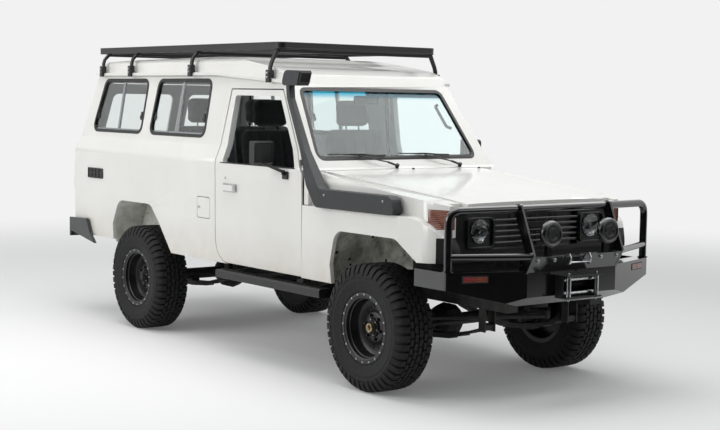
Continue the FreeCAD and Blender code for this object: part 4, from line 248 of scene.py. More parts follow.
# Zinc-plated steel of bolts and shackles. It gives a pale grey gleam that is broken by fine scuffs.
zinc_plate = patchy_finish("zinc_plated_steel", 0.01, "#9FA3A6", "#C9CCCE", roughness=0.3, metallic=1.0)
# Aluminised exhaust tube, dulled by heat to a brown-grey.
exhaust_steel = patchy_finish("aluminised_steel", 0.12, "#4E4A45", "#8B8884", roughness=0.42, metallic=0.9)
for name in ("frame_rails", "suspension", "propshafts", "tie_rod", "drag_link", "pitman_arm",
             "steering_gear"):
    dress(name, chassis_paint)
for name in ("front_axle", "rear_axle", "engine", "knuckle_right", "knuckle_left"):
    dress(name, cast_iron)
dress("exhaust", exhaust_steel)


# Tyres. Balloon off-road tyres of black rubber with carbon dust, moulded in one piece. Lugs wrap the
# shoulders in a long and short order, and staggered blocks fill the tread between them.
def mesh_of(shape):
    """The mesh of a finished shape, with its faces outward."""
    bmesh.ops.recalc_face_normals(shape, faces=shape.faces)
    mesh = bpy.data.meshes.new("form")
    shape.to_mesh(mesh)
    shape.free()
    return mesh


def faced(points, faces):
    """A mesh from its corners and faces, with the faces outward."""
    mesh = bpy.data.meshes.new("form")
    mesh.from_pydata([tuple(point) for point in points], [], faces)
    shape = bmesh.new()
    shape.from_mesh(mesh)
    return mesh_of(shape)


def prism(low, high):
    """A closed block between two outlines with as many corners each."""
    count = len(low)
    walls = [(i, (i + 1) % count, (i + 1) % count + count, i + count) for i in range(count)]
    return faced([*low, *high], [tuple(range(count)), tuple(range(count, 2 * count))] + walls)


def turned(profile, sides):
    """The mesh of an outline of (y, radius) points turned round the y axis. A radius of 0 closes it."""
    shape = bmesh.new()
    angles = [math.tau * i / sides for i in range(sides)]
    rings = []
    for y, radius in profile:
        if radius < 1e-6:
            rings.append([shape.verts.new((0, y, 0))] * sides)
        else:
            rings.append([shape.verts.new((radius * math.sin(a), y, radius * math.cos(a))) for a in angles])
    for low, high in zip(rings, rings[1:]):
        for i in range(sides):
            corners = list(dict.fromkeys([low[i], low[(i + 1) % sides], high[(i + 1) % sides], high[i]]))
            if len(corners) > 2:
                shape.faces.new(corners)
    bmesh.ops.remove_doubles(shape, verts=shape.verts, dist=1e-5)
    return mesh_of(shape)


def moved(mesh, matrix):
    """A copy of a mesh at its place. A mirrored one keeps its faces outward."""
    copy = mesh.copy()
    copy.transform(matrix)
    if matrix.is_negative:
        copy.flip_normals()
    return copy


def merged(*meshes):
    """One mesh from several. Each keeps its materials."""
    shape = bmesh.new()
    finishes = []
    for mesh in meshes:
        finishes += [finish for finish in mesh.materials if finish not in finishes]
        slots = [finishes.index(finish) for finish in mesh.materials] or [0]
        before = len(shape.faces)
        shape.from_mesh(mesh)
        shape.faces.ensure_lookup_table()
        for face in shape.faces[before:]:
            face.material_index = slots[min(face.material_index, len(slots) - 1)]
    made = bpy.data.meshes.new("merged")
    shape.to_mesh(made)
    shape.free()
    for finish in finishes:
        made.materials.append(finish)
    return made


# A row or ring of copies, laid out by nodes, made real and given its finish.
row_tree = bpy.data.node_groups.new("row_or_ring", "GeometryNodeTree")
row_inputs = {"Unit": "Geometry", "Count": "Int", "Step": "Vector", "Turn": "Vector", "Finish": "Material"}
for title, kind in row_inputs.items():
    row_tree.interface.new_socket(title, in_out="INPUT", socket_type="NodeSocket" + kind)
row_tree.interface.new_socket("Pieces", in_out="OUTPUT", socket_type="NodeSocketGeometry")
given = add_node(row_tree, "NodeGroupInput").outputs
spots = add_node(row_tree, "GeometryNodeMeshLine", {"Count": given["Count"], "Offset": given["Step"]})
number = add_node(row_tree, "GeometryNodeInputIndex")
angle = add_node(row_tree, "VectorMath", {0: given["Turn"], 3: number.outputs[0]}, operation="SCALE")
copies = add_node(row_tree, "GeometryNodeInstanceOnPoints",
                  {"Points": spots.outputs[0], "Instance": given["Unit"], "Rotation": angle.outputs[0]})
joined = add_node(row_tree, "GeometryNodeRealizeInstances", {"Geometry": copies.outputs[0]})
coated = add_node(row_tree, "GeometryNodeSetMaterial",
                  {"Geometry": joined.outputs[0], "Material": given["Finish"]})
add_node(row_tree, "NodeGroupOutput", {0: coated.outputs[0]})


def repeated(unit, finish, count, step=(0, 0, 0), turn=(0, 0, 0)):
    """Copies of a mesh in a row or round the origin, as one plain mesh."""
    host = bpy.data.objects.new("row_host", unit)
    scene.collection.objects.link(host)
    modifier = host.modifiers.new("row", "NODES")
    modifier.node_group = row_tree
    values = {"Count": count, "Step": step, "Turn": turn, "Finish": finish}
    for item in row_tree.interface.items_tree:
        if item.name in values:
            modifier[item.identifier] = values[item.name]
    made = bpy.data.meshes.new_from_object(host.evaluated_get(bpy.context.evaluated_depsgraph_get()))
    bpy.data.objects.remove(host)
    return made


def ring_of(unit, finish, count):
    return repeated(unit, finish, count, turn=(0, math.tau / count, 0))


def put(name, slot, finish, *meshes, body="chassis", replaces=(), smooth=35, edge=0.0):
    """Join meshes into one piece of the car that rides on a CAD body. Without a finish each keeps its own."""
    mesh = merged(*meshes)
    mesh.name = name
    if finish:
        mesh.materials.clear()
        mesh.materials.append(finish)
    mesh.shade_smooth()
    mesh.set_sharp_from_angle(angle=math.radians(smooth))
    piece = bpy.data.objects.new(name, mesh)
    scene.collection.objects.link(piece)
    if edge:
        round_edges(piece, edge)
    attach(piece, body)
    if replaces:
        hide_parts(*replaces)
    return piece


# Moulded carbon-black rubber. It gives a warm black with a faint bloom and grey dust low in the grooves.
tyre_rubber = patchy_finish("moulded_tyre_rubber", 0.03, "#101112", "#1C1C1B", 0.35, 0.7,
                            grain=(0.0025, 0.00025), roughness=0.72, specular_ior_level=0.35)

tread_top, tread_base, carcass = 0.4095, 0.388, 0.395
bead = (0.104, 0.2065)
side_line = [bead, (0.112, 0.218), (0.117, 0.233), (0.1215, 0.2345), (0.125, 0.25), (0.1305, 0.272),
             (0.1335, 0.296), (0.1352, 0.3), (0.1352, 0.3045), (0.1342, 0.308), (0.1345, 0.326),
             (0.1365, 0.329), (0.1355, 0.334), (0.131, 0.35), (0.125, 0.366), (0.116, 0.38), (0.102, 0.39),
             (0.06, 0.3945)]
carcass_line = [(-y, r) for y, r in side_line] + [(0.0, carcass)] + side_line[::-1]
tyre_body = turned(carcass_line + [bead, (-bead[0], bead[1])], 96)


def tread_block(corners, draft=0.0035):
    """A block of tread. Its corners are (round the tyre, across it), and its walls slope outward."""
    middle = sum((Vector(c) for c in corners), Vector((0, 0))) / len(corners)
    feet = [Vector(c) + (Vector(c) - middle).normalized() * draft for c in corners]
    return prism([(s, y, tread_base) for s, y in feet],
                 [(s, y, tread_top - s * s / (2 * tread_top)) for s, y in corners])


def shoulder_lug(width, reach, flare=0.003):
    """A lug that wraps from the tread over the shoulder and down the side of the tyre."""
    path = [(0.07, 0.4085), (0.106, 0.4065), (0.1215, 0.393), (0.133, 0.37), (0.1395, 0.37 - reach)]
    foot = [(0.07, 0.39), (0.104, 0.386), (0.112, 0.377), (0.12, 0.36), (0.133, 0.364 - reach)]
    halves = [width * share for share in (0.5, 0.5, 0.46, 0.4, 0.34)]
    rows = [[(sign * (h + wider), y, r) for h, (y, r) in zip(halves, line)]
            for line, wider in ((path, 0), (foot, flare)) for sign in (-1, 1)]
    n = len(path)
    faces = [(0, n, 3 * n, 2 * n), (n - 1, 3 * n - 1, 4 * n - 1, 2 * n - 1)]
    for i in range(n - 1):
        faces += [(i + a * n, i + 1 + a * n, i + 1 + b * n, i + b * n)
                  for a, b in ((0, 1), (2, 0), (1, 3), (3, 2))]
    return faced(sum(rows, []), faces)


pitches = 23
centre_blocks = [
    ([(-0.026, 0.006), (0.02, 0.002), (0.028, 0.022), (0.012, 0.034), (-0.02, 0.03)], 0.0),
    ([(-0.022, 0.008), (0.024, 0.004), (0.026, 0.026), (-0.004, 0.036), (-0.026, 0.028)], 0.5),
    ([(-0.02, 0.04), (0.014, 0.042), (0.024, 0.058), (0.006, 0.068), (-0.024, 0.064)], 0.28),
    ([(-0.016, 0.042), (0.02, 0.04), (0.024, 0.062), (-0.012, 0.068), (-0.026, 0.056)], 0.78)]
units = [(tread_block(corners), share) for corners, share in centre_blocks]
units += [(shoulder_lug(0.04, 0.036), 0.02), (shoulder_lug(0.036, 0.02), 0.52)]
tread_unit = []
for side, shift in ((1, 0), (-1, 0.25)):
    for unit, share in units:
        around = Matrix.Rotation(math.tau / pitches * (share + shift), 4, "Y")
        tread_unit.append(moved(unit, around @ Matrix.Diagonal((side, side, 1, 1))))
shape = bmesh.new()
shape.from_mesh(merged(tyre_body, ring_of(merged(*tread_unit), tyre_rubber, pitches)))
tyre = mesh_of(shape)

# Rims. Black-painted pressed steel with a deep dish, a clamping ring with bright bolts round its lip,
# and a cast hub in the middle. The front hubs carry a brass-coloured free-wheel dial.
# Stove enamel on steel gives a clean black with a soft gloss and brake dust down in the dish.
rim_enamel = patchy_finish("stove_enamelled_steel", 0.05, "#080809", "#131312", 0.4, 0.75,
                           roughness=0.48, coat_weight=0.12, coat_roughness=0.25)
# Cast brass-coloured alloy of the hub dial, worn pale on its rim.
dial_brass = patchy_finish("cast_brass_dial", 0.008, "#75654A", "#B7A688", roughness=0.35, metallic=1.0)


def finished(mesh, finish, matrix=Matrix.Identity(4)):
    """A copy of a mesh in its finish and at its place."""
    copy = moved(mesh, matrix)
    copy.materials.clear()
    copy.materials.append(finish)
    return copy


def bolt(radius, height, sides=6, dome=0.35):
    """A bolt head with its washer, standing along y from the origin."""
    return turned([(0, 0), (0, radius * 1.35), (height * 0.22, radius * 1.35), (height * 0.22, radius),
                   (height * (1 - dome), radius), (height, radius * 0.62), (height, 0)], sides)


def shifted(mesh, x, y, z):
    return moved(mesh, Matrix.Translation((x, y, z)))


def stand(x, y, z, degrees=0, axis="Z"):
    """A place measured from the front axle, turned about one axis."""
    return Matrix.Translation(at(x, y, z)) @ Matrix.Rotation(math.radians(degrees), 4, axis)


rim_line = [(0.103, 0.206), (0.108, 0.224), (0.1165, 0.229), (0.12, 0.227), (0.1215, 0.224), (0.1215, 0.208),
            (0.1195, 0.206), (0.116, 0.203), (0.115, 0.196), (0.112, 0.1925), (0.09, 0.1905), (0.086, 0.185),
            (0.035, 0.183), (0.025, 0.178), (0.018, 0.165), (0.015, 0.145), (0.016, 0.118), (0.022, 0.106),
            (0.033, 0.099), (0.038, 0.09), (0.038, 0.062), (0.03, 0.06), (0.022, 0.06), (0.022, 0.032),
            (-0.06, 0.032), (-0.062, 0.07), (-0.01, 0.072), (0.002, 0.106), (0.0000, 0.165),
            (-0.01, 0.186), (-0.103, 0.192), (-0.112, 0.2), (-0.118, 0.228), (-0.106, 0.228),
            (-0.103, 0.206), (0.103, 0.206)]
slot_edge = turned([(0, 0.015), (0.004, 0.0175), (0.0045, 0.019), (0.003, 0.02), (0.0, 0.02)], 20)
drum = turned([(0.01, 0), (0.01, 0.059), (0.048, 0.056), (0.052, 0.052), (0.052, 0.046), (0.062, 0.044),
               (0.064, 0.042), (0.064, 0)], 40)
dial = turned([(0.064, 0.0), (0.064, 0.033), (0.074, 0.0325), (0.079, 0.029), (0.079, 0.018), (0.076, 0.0165),
               (0.076, 0.0)], 32)
grip = prism([(-0.0045, 0.0755, -0.015), (0.0045, 0.0755, -0.015), (0.0045, 0.0755, 0.015),
              (-0.0045, 0.0755, 0.015)],
             [(-0.003, 0.085, -0.014), (0.003, 0.085, -0.014), (0.003, 0.085, 0.014), (-0.003, 0.085, 0.014)])
cover = turned([(0.064, 0.0), (0.064, 0.033), (0.072, 0.031), (0.076, 0.025), (0.076, 0.0)], 32)
bolted_rim = merged(
    finished(turned(rim_line, 72), rim_enamel),
    ring_of(shifted(bolt(0.0052, 0.0065, 8), 0, 0.121, 0.216), zinc_plate, 20),
    ring_of(shifted(bolt(0.0105, 0.02, 6, 0.5), 0, 0.037, 0.0765), rim_enamel, 6),
    ring_of(shifted(slot_edge, 0, 0.0145, 0.132), chassis_paint, 10),
    finished(drum, cast_iron),
    ring_of(shifted(bolt(0.0042, 0.006, 8), 0, 0.052, 0.0495), zinc_plate, 6))
front_rim = merged(bolted_rim, finished(dial, dial_brass), finished(grip, dial_brass))
rear_rim = merged(bolted_rim, finished(cover, cast_iron))
wheelbase, half_track, hub_height = 2.98, 0.765, 0.41
for axle, x, rim, spins in (("front", 0, front_rim, (0.3, 1.1)), ("rear", -wheelbase, rear_rim, (2.0, 0.7))):
    for side, y, facing, spin in (("right", -half_track, 180, spins[0]), ("left", half_track, 0, spins[1])):
        label = axle + "_" + side
        place = stand(x, y, hub_height, facing) @ Matrix.Rotation(spin, 4, "Y")
        put("tyre_" + label, "tyre_rubber", tyre_rubber, moved(tyre, place), body="wheel_" + label,
            replaces=["tyre_" + label], smooth=40)
        put("rim_" + label, "black_coat", None, moved(rim, place), body="wheel_" + label,
            replaces=["rim_" + label])


# Body shell, doors, bonnet and wings. Pressed steel panels, spot-welded and stove-enamelled white. The
# cabin side of the same panels is lined with grey vinyl, and road dust clings under the arches.
def within(value, low, high):
    """1 where a value lies between two levels, and 0 elsewhere."""
    node = add_node(value.id_data, "Math", {0: value}, operation="COMPARE")
    node.inputs[1].default_value, node.inputs[2].default_value = (low + high) / 2, (high - low) / 2
    return node.outputs[0]


BEYOND = 9


def above(value, limit):
    return within(value, limit, BEYOND)


def below(value, limit):
    return within(value, -BEYOND, limit)


def leaning(value, height, factor):
    """A value that moves with the height by a factor, for the leaning planes of the body."""
    node = add_node(value.id_data, "Math", {0: height, 2: value}, operation="MULTIPLY_ADD")
    node.inputs[1].default_value = factor
    return node.outputs[0]


def painted_over(under, over, mask):
    """One colour laid over another where the mask is 1. The upper one may be a hex colour."""
    tree = under.id_data
    mix = add_node(tree, "Mix", {0: mask, 6: under}, data_type="RGBA")
    if isinstance(over, str):
        mix.inputs[7].default_value = hex_colour(over)
    else:
        tree.links.new(over, mix.inputs[7])
    return mix.outputs[2]


# White stove enamel on steel, lacquered. It gives an even cream-white with a soft gloss.
white_enamel, shader = new_finish("white_stove_enamel", roughness=0.36, coat_weight=0.6, coat_roughness=0.1)
tree = white_enamel.node_tree
place = add_node(tree, "TexCoord").outputs["Object"]
spot = add_node(tree, "SeparateXYZ", {"Vector": place})
less_axle = add_node(tree, "Math", {0: spot.outputs["X"]}, operation="SUBTRACT")
less_axle.inputs[1].default_value = AXLE_X
from_axle = less_axle.outputs[0]
height = spot.outputs["Z"]
belt, headlining_height, arch_width = 1.385, 1.952, 0.812
side_lean, screen_lean, tail_lean = 0.1634, 0.714, -0.34
span = add_node(tree, "Math", {0: spot.outputs["Y"]}, operation="ABSOLUTE").outputs[0]
above_belt = add_node(tree, "MapRange", {"Value": height}, from_min=belt, from_max=belt + 1).outputs[0]
cabin = masks("MULTIPLY", below(leaning(span, height, side_lean), 1.03), below(span, 0.824),
              below(leaning(from_axle, above_belt, screen_lean), -0.751),
              above(leaning(from_axle, above_belt, tail_lean), -4.12), within(height, 0.7, headlining_height))
facing = add_node(tree, "SeparateXYZ", {"Vector": add_node(tree, "NewGeometry").outputs["Normal"]})
headlining = masks("MULTIPLY", below(facing.outputs["Z"], -0.3), within(height, headlining_height, 2.3))
low_zone = within(height, 0.0, 1.03)
rear_arch = masks("MULTIPLY", low_zone, within(span, 0.535, arch_width), within(from_axle, -3.56, -2.34))
front_arch = masks("MULTIPLY", low_zone, below(span, arch_width), above(from_axle, -0.735))
under_arch = masks("MAXIMUM", rear_arch, front_arch)
cloud = clouds(tree, 1 / 7, 6.0)
low_down = add_node(tree, "MapRange", {"Value": height}, from_min=0.62, from_max=0.95, to_min=1.0,
                    to_max=0.0).outputs[0]
clean = shaded(clouds(tree, 0.5, 5.0, 0.6), "#DEDDD8", "#E3E2DE", 0.35, 0.65)
soiled = painted_over(clean, "#C4BEB0", masks("MULTIPLY", low_down, cloud))
road_dust = shaded(clouds(tree, 1 / 9, 7.0, 0.65), "#8A8B81", "#D8D8CD", 0.36, 0.62)
tar = add_node(tree, "TexVoronoi", {"Vector": place}, scale=13.0, randomness=1.0)
tarred = painted_over(road_dust, "#1C1D1B", below(tar.outputs["Distance"], 0.16))
# Ahead of the front wheels the inner wing toward the engine bay is painted near black. This is partly the
# wing's own black paint and partly painted shade, standing for the dark of the open bay behind it.
bay_black_and_shade = masks("MULTIPLY", below(span, 0.745), above(from_axle, -0.08))
arch_dust_and_shade = painted_over(tarred, "#121311", bay_black_and_shade)
rear_coat = painted_over(arch_dust_and_shade, "#E0E1DA", masks("MULTIPLY", below(from_axle, -1.5), cloud))
nose_coat = painted_over(rear_coat, "#101111", above(from_axle, 0.24))
lining = painted_over(shaded(cloud, "#CFD1D0", "#DADCDB"), "#26282A",
                      masks("MULTIPLY", above(from_axle, -1.93), below(height, 1.41)))
coat = painted_over(painted_over(soiled, lining, cabin), nose_coat, under_arch)
tree.links.new(painted_over(coat, "#C6C5BF", headlining), shader.inputs["Base Color"])
matt_part = masks("MAXIMUM", under_arch, cabin)
for title, painted, matt_level in (("Coat Weight", 0.6, 0.0), ("Roughness", 0.36, 0.8)):
    chosen = add_node(tree, "MapRange", {"Value": matt_part}, to_min=painted, to_max=matt_level)
    tree.links.new(chosen.outputs[0], shader.inputs[title])
raised(white_enamel, clouds(tree, 0.009, 2.0), 1.0, 0.00004)
for name in ("body_shell", "roof", "wing_left", "wing_right", "nose_panel", "bonnet", "door_left",
             "door_right",
             "rear_door_left", "rear_door_right", "fuel_flap"):
    dress(name, white_enamel, 0.004)

# Small fittings of the body sides: the air outlet, door handle frames, key holes, the flap's lock and the
# closing plates ahead of the door hinges. Moulded or plated parts, each clipped or screwed to its panel.
def rounded(corners, steps=6):
    """An outline with each corner (u, v, radius) turned into an arc."""
    outline = []
    for i, (u, v, radius) in enumerate(corners):
        here = Vector((u, v))
        back = (Vector(corners[i - 1][:2]) - here).normalized()
        ahead = (Vector(corners[(i + 1) % len(corners)][:2]) - here).normalized()
        if radius <= 0:
            outline.append((u, v))
            continue
        half = back.angle(ahead) / 2
        centre = here + (back + ahead).normalized() * (radius / math.sin(half))
        start = here + back * (radius / math.tan(half)) - centre
        turn = start.angle_signed(here + ahead * (radius / math.tan(half)) - centre)
        for k in range(steps + 1):
            angle = -turn * k / steps
            outline.append((centre.x + start.x * math.cos(angle) - start.y * math.sin(angle),
                            centre.y + start.x * math.sin(angle) + start.y * math.cos(angle)))
    return outline


def set_across(axis, u, v, w):
    """A point of an outline that lies across an axis, at the place w along that axis."""
    return at(*{"x": (w, u, v), "y": (u, w, v), "z": (u, v, w)}[axis])


def plate(outline, axis, low, high):
    """A flat piece with an outline, between two places along an axis."""
    return prism(*[[set_across(axis, u, v, w) for u, v in outline] for w in (low, high)])


def rectangle(u0, u1, v0, v1, radius=0.0, steps=6):
    return rounded([(u0, v0, radius), (u1, v0, radius), (u1, v1, radius), (u0, v1, radius)], steps)


def frame_plate(box, rim, radii, axis, low, high, steps=6):
    """A flat frame, from its outer box (u0, u1, v0, v1), its rim's width and its outer and inner radius."""
    u0, u1, v0, v1 = box
    outer = rectangle(u0, u1, v0, v1, radii[0], steps)
    inner = rectangle(u0 + rim, u1 - rim, v0 + rim, v1 - rim, radii[1], steps)
    count = len(outer)
    points = [set_across(axis, u, v, w)
              for line, w in ((outer, low), (outer, high), (inner, high), (inner, low)) for u, v in line]
    faces = [(a * count + i, a * count + (i + 1) % count, (a + 1) % 4 * count + (i + 1) % count,
              (a + 1) % 4 * count + i)
             for a in range(4) for i in range(count)]
    return faced(points, faces)


def block(x0, x1, y0, y1, z0, z1):
    return plate([(x0, y0), (x1, y0), (x1, y1), (x0, y1)], "z", z0, z1)


def on_side(sign, *meshes):
    """Meshes that are drawn for the right side, on the side where y has this sign."""
    return moved(merged(*meshes), Matrix.Scale(-sign, 4, (0, 1, 0)))


def both_sides(*meshes):
    return merged(on_side(-1, *meshes), on_side(1, *meshes))


# Injection-moulded black plastic. It gives a soft dark grey gleam over a fine leather grain.
moulded_black = patchy_finish("moulded_black_plastic", 0.05, "#121314", "#1A1B1C",
                              grain=(0.0022, 0.00012), roughness=0.42)
# Bright plated steel, polished and then handled. It mirrors the studio, with a faint haze.
bright_plate = patchy_finish("bright_plated_steel", 0.02, "#B4B7B9", "#D2D4D5",
                             wear=(0.015, 0.12, 0.3), metallic=1.0)

vent_frame = frame_plate((-3.898, -3.632, 1.156, 1.241), 0.008, (0.01, 0.006), "y", -0.836, -0.85)
vent_back = block(-3.892, -3.638, -0.845, -0.8395, 1.162, 1.235)
vent_posts = [block(x - 0.003, x + 0.003, -0.85, -0.84, 1.16, 1.237) for x in (-3.8275, -3.765, -3.7025)]
vent_bar = block(-3.894, -3.636, -0.85, -0.84, 1.195, 1.202)
vent_blades = [plate([(-0.844, z), (-0.8495, z - 0.006), (-0.8485, z - 0.008), (-0.843, z - 0.002)],
                     "x", -3.892, -3.638) for z in (1.174, 1.185, 1.213, 1.225)]
put("air_outlets", "black_plastic", moulded_black,
    both_sides(vent_frame, vent_back, vent_bar, *vent_posts, *vent_blades), smooth=30)
handle_frame = frame_plate((-1.75, -1.57, 1.167, 1.231), 0.009, (0.012, 0.008), "y", -0.8395, -0.8505)
paddle = plate(rectangle(-1.737, -1.583, 1.18, 1.217, 0.012), "y", -0.874, -0.8765)
key_hole = turned([(0.002, 0.0), (0.002, 0.0085), (0.0, 0.0105), (-0.006, 0.0105), (-0.006, 0.0)], 20)
hinge_fill = block(-0.7515, -0.7005, -0.8305, -0.8, 1.14, 1.33)
car_sides = (("right", -1), ("left", 1))
for label, sign in car_sides:
    put("door_handle_" + label, "white_paint", None,
        on_side(sign, finished(handle_frame, bright_plate), finished(paddle, white_enamel),
                finished(key_hole, bright_plate, stand(-1.722, -0.8465, 1.268, 180))),
        body="door_" + label, edge=0.0012)
    put("hinge_fill_" + label, "white_paint", white_enamel, on_side(sign, hinge_fill), edge=0.003)
lock = turned([(0.0, 0.0), (0.0, 0.007), (-0.002, 0.0085), (-0.005, 0.0085), (-0.005, 0.0)], 20)
put("flap_lock", "bare_steel", bright_plate, moved(lock, stand(-2.094, -0.8425, 1.032)), body="fuel_flap")


# Windows. Toughened glass in black rubber seals, with a tinted sun band along the head of the windscreen.
# The side windows slide: each has a centre bar of anodised aluminium and a black catch near each lower end.
def pipe(points, radius, bend=0.0, sides=16, closed=False, flat=1.0):
    """A round bar through points, its corners bent to a radius. Flat narrows it along the first normal."""
    path = []
    points = [Vector(p) for p in points]
    count = len(points)
    for i, here in enumerate(points):
        if bend and (closed or 0 < i < count - 1):
            back, ahead = points[i - 1] - here, points[(i + 1) % count] - here
            angle = back.angle(ahead)
            if angle < math.pi - 0.02:
                reach = min(bend / math.tan(angle / 2), back.length * 0.49, ahead.length * 0.49)
                first, last = here + back.normalized() * reach, here + ahead.normalized() * reach
                path += [(1 - t) ** 2 * first + 2 * t * (1 - t) * here + t * t * last
                         for t in [k / 8 for k in range(9)]]
                continue
        path.append(here)
    shape = bmesh.new()
    rings = []
    total = len(path)
    normal = None
    for i, spot in enumerate(path):
        before = path[i - 1] if closed or i else spot
        after = path[(i + 1) % total] if closed or i < total - 1 else spot
        along = (after - before).normalized()
        if normal is None:
            normal = along.cross(Vector((0, 0, 1)) if abs(along.z) < 0.9 else Vector((1, 0, 0))).normalized()
        normal = (normal - along * normal.dot(along)).normalized()
        other = along.cross(normal)
        rings.append([shape.verts.new(spot + (normal * math.cos(a) * flat + other * math.sin(a)) * radius)
                      for a in [math.tau * k / sides for k in range(sides)]])
    for low, high in list(zip(rings, rings[1:])) + ([(rings[-1], rings[0])] if closed else []):
        for k in range(sides):
            shape.faces.new((low[k], low[(k + 1) % sides], high[(k + 1) % sides], high[k]))
    if not closed:
        shape.faces.new(rings[0])
        shape.faces.new(rings[-1])
    return mesh_of(shape)


# Toughened glass with a laminated windscreen. It is clear, faintly green ahead and blue along the sun band.
clear_glass, shader = new_finish("toughened_window_glass", roughness=0.0, ior=1.46, transmission_weight=1.0)
tree = clear_glass.node_tree
spot = add_node(tree, "SeparateXYZ", {"Vector": add_node(tree, "TexCoord").outputs["Object"]}).outputs
windscreen = above(spot["X"], AXLE_X - 1.2)
sun_band = add_node(tree, "MapRange", {"Value": spot["Z"]}, from_min=1.842, from_max=1.886,
                    interpolation_type="SMOOTHSTEP").outputs[0]
plain = add_node(tree, "RGB").outputs[0]
plain.default_value = hex_colour("#F6FAF9")
laminated = painted_over(plain, "#DDEDEC", windscreen)
tree.links.new(painted_over(laminated, "#2FB0D0", masks("MULTIPLY", sun_band, windscreen)),
               shader.inputs["Base Color"])
for name in ("fixed_glass", "rear_glass_left", "rear_glass_right"):
    dress(name, clear_glass)
# Extruded black rubber. It gives a near-black with a soft sheen along its rounded lip.
seal_rubber = patchy_finish("extruded_black_rubber", 0.04, "#0D0E0E", "#181919", grain=(0.003, 0.0001),
                            roughness=0.45)
dress("window_seals", seal_rubber, 0.0035)
# Anodised aluminium, brushed along its length, a dull pale grey.
anodised = patchy_finish("anodised_aluminium", 0.01, "#8D9194", "#A9ADB0", roughness=0.35, metallic=1.0)


def side_face(z):
    """How far the outer face of the body side stands from the centre line, from the shoulder up."""
    return 0.805 - (z - 1.5) * 0.16339


def leaning_strip(x0, x1, z0, z1, out, deep):
    """A strip that leans with the body side, between two depths below its face."""
    return prism(*[[at(x, -(side_face(z) - w), z) for x, w in ((x0, out), (x1, out), (x1, deep), (x0, deep))]
                   for z in (z0, z1)])


slide_bars, catches = [], []
for middle, ends in ((-2.52, (-2.885, -2.15)), (-3.478, (-3.85, -3.118))):
    slide_bars.append(leaning_strip(middle - 0.014, middle + 0.014, 1.566, 1.962, 0.008, 0.026))
    slide_bars.append(leaning_strip(middle + 0.022, middle + 0.028, 1.566, 1.962, 0.009, 0.0115))
    for x in ends:
        catches.append(leaning_strip(x - 0.01, x + 0.01, 1.655, 1.72, 0.004, 0.0115))
        catches.append(leaning_strip(x - 0.017, x + 0.017, 1.668, 1.69, 0.002, 0.0115))
put("window_slide_bars", "window_glass", anodised, both_sides(*slide_bars), edge=0.0015)
put("window_catches", "black_plastic", moulded_black, both_sides(*catches), edge=0.002)
sills = [leaning_strip(x0, x1, 1.562, 1.578, 0.0085, 0.0205) for x0, x1 in ((-2.912, -2.12), (-3.88, -3.092))]
put("window_sill_tracks", "window_glass", anodised, both_sides(*sills), edge=0.001)
belt_strip = block(-1.8, -0.842, -0.8465, -0.812, 1.3725, 1.38)
for label, sign in car_sides:
    put("door_belt_seal_" + label, "seal_rubber", seal_rubber, on_side(sign, belt_strip),
        body="door_" + label, edge=0.001)
aperture = pipe([at(x, -(side_face(z) - 0.056), z) for x, z in
                 ((-1.868, 1.385), (-1.804, 1.909), (-1.148, 1.909), (-0.8, 1.375))], 0.013, bend=0.03,
                 sides=10)
put("door_aperture_seals", "seal_rubber", seal_rubber, both_sides(aperture))


# Wipers. Black painted arms on two spindles in the cowl, each with a sprung blade that rests along the
# foot of the windscreen. Two washer jets stand on the bonnet ahead of them.
def on_screen(y, z, out):
    """A point at a distance in front of the windscreen."""
    return at(-0.719 - (z - belt) * screen_lean + out, y, z)


wiper_parts = []
for spindle, (left_end, right_end), middle in ((-0.07, (-0.615, -0.135), -0.375),
                                               (0.51, (-0.01, 0.45), 0.215)):
    hub = on_screen(spindle, 1.392, 0.02)
    knee = on_screen(spindle + (middle - spindle) * 0.28, 1.418, 0.04)
    tip = on_screen(middle, 1.462, 0.024)
    low_end, high_end = on_screen(left_end, 1.474, 0.014), on_screen(right_end, 1.462, 0.014)
    peak = low_end.lerp(high_end, 0.5) + Vector((0.01, 0, 0.006))
    wiper_parts += [pipe([hub, knee], 0.0075, sides=10), pipe([knee, tip], 0.0048, sides=10),
                    pipe([hub - Vector((0.012, 0, 0.02)), hub + Vector((0.006, 0, 0.01))], 0.013, sides=14),
                    pipe([low_end, high_end], 0.0045, sides=8),
                    pipe([low_end.lerp(high_end, 0.18), peak, low_end.lerp(high_end, 0.82)], 0.0036, bend=0.3,
                         sides=8)]
put("wipers", "black_plastic", moulded_black, *wiper_parts)
jet = turned([(0.0, 0.0), (0.0, 0.011), (0.006, 0.0095), (0.012, 0.006), (0.012, 0.0)], 16)
put("washer_jets", "black_plastic", moulded_black, body="bonnet",
    *[moved(jet, stand(-0.6, y, z, 90, "X")) for y, z in ((-0.01, 1.369), (0.6, 1.3655))])


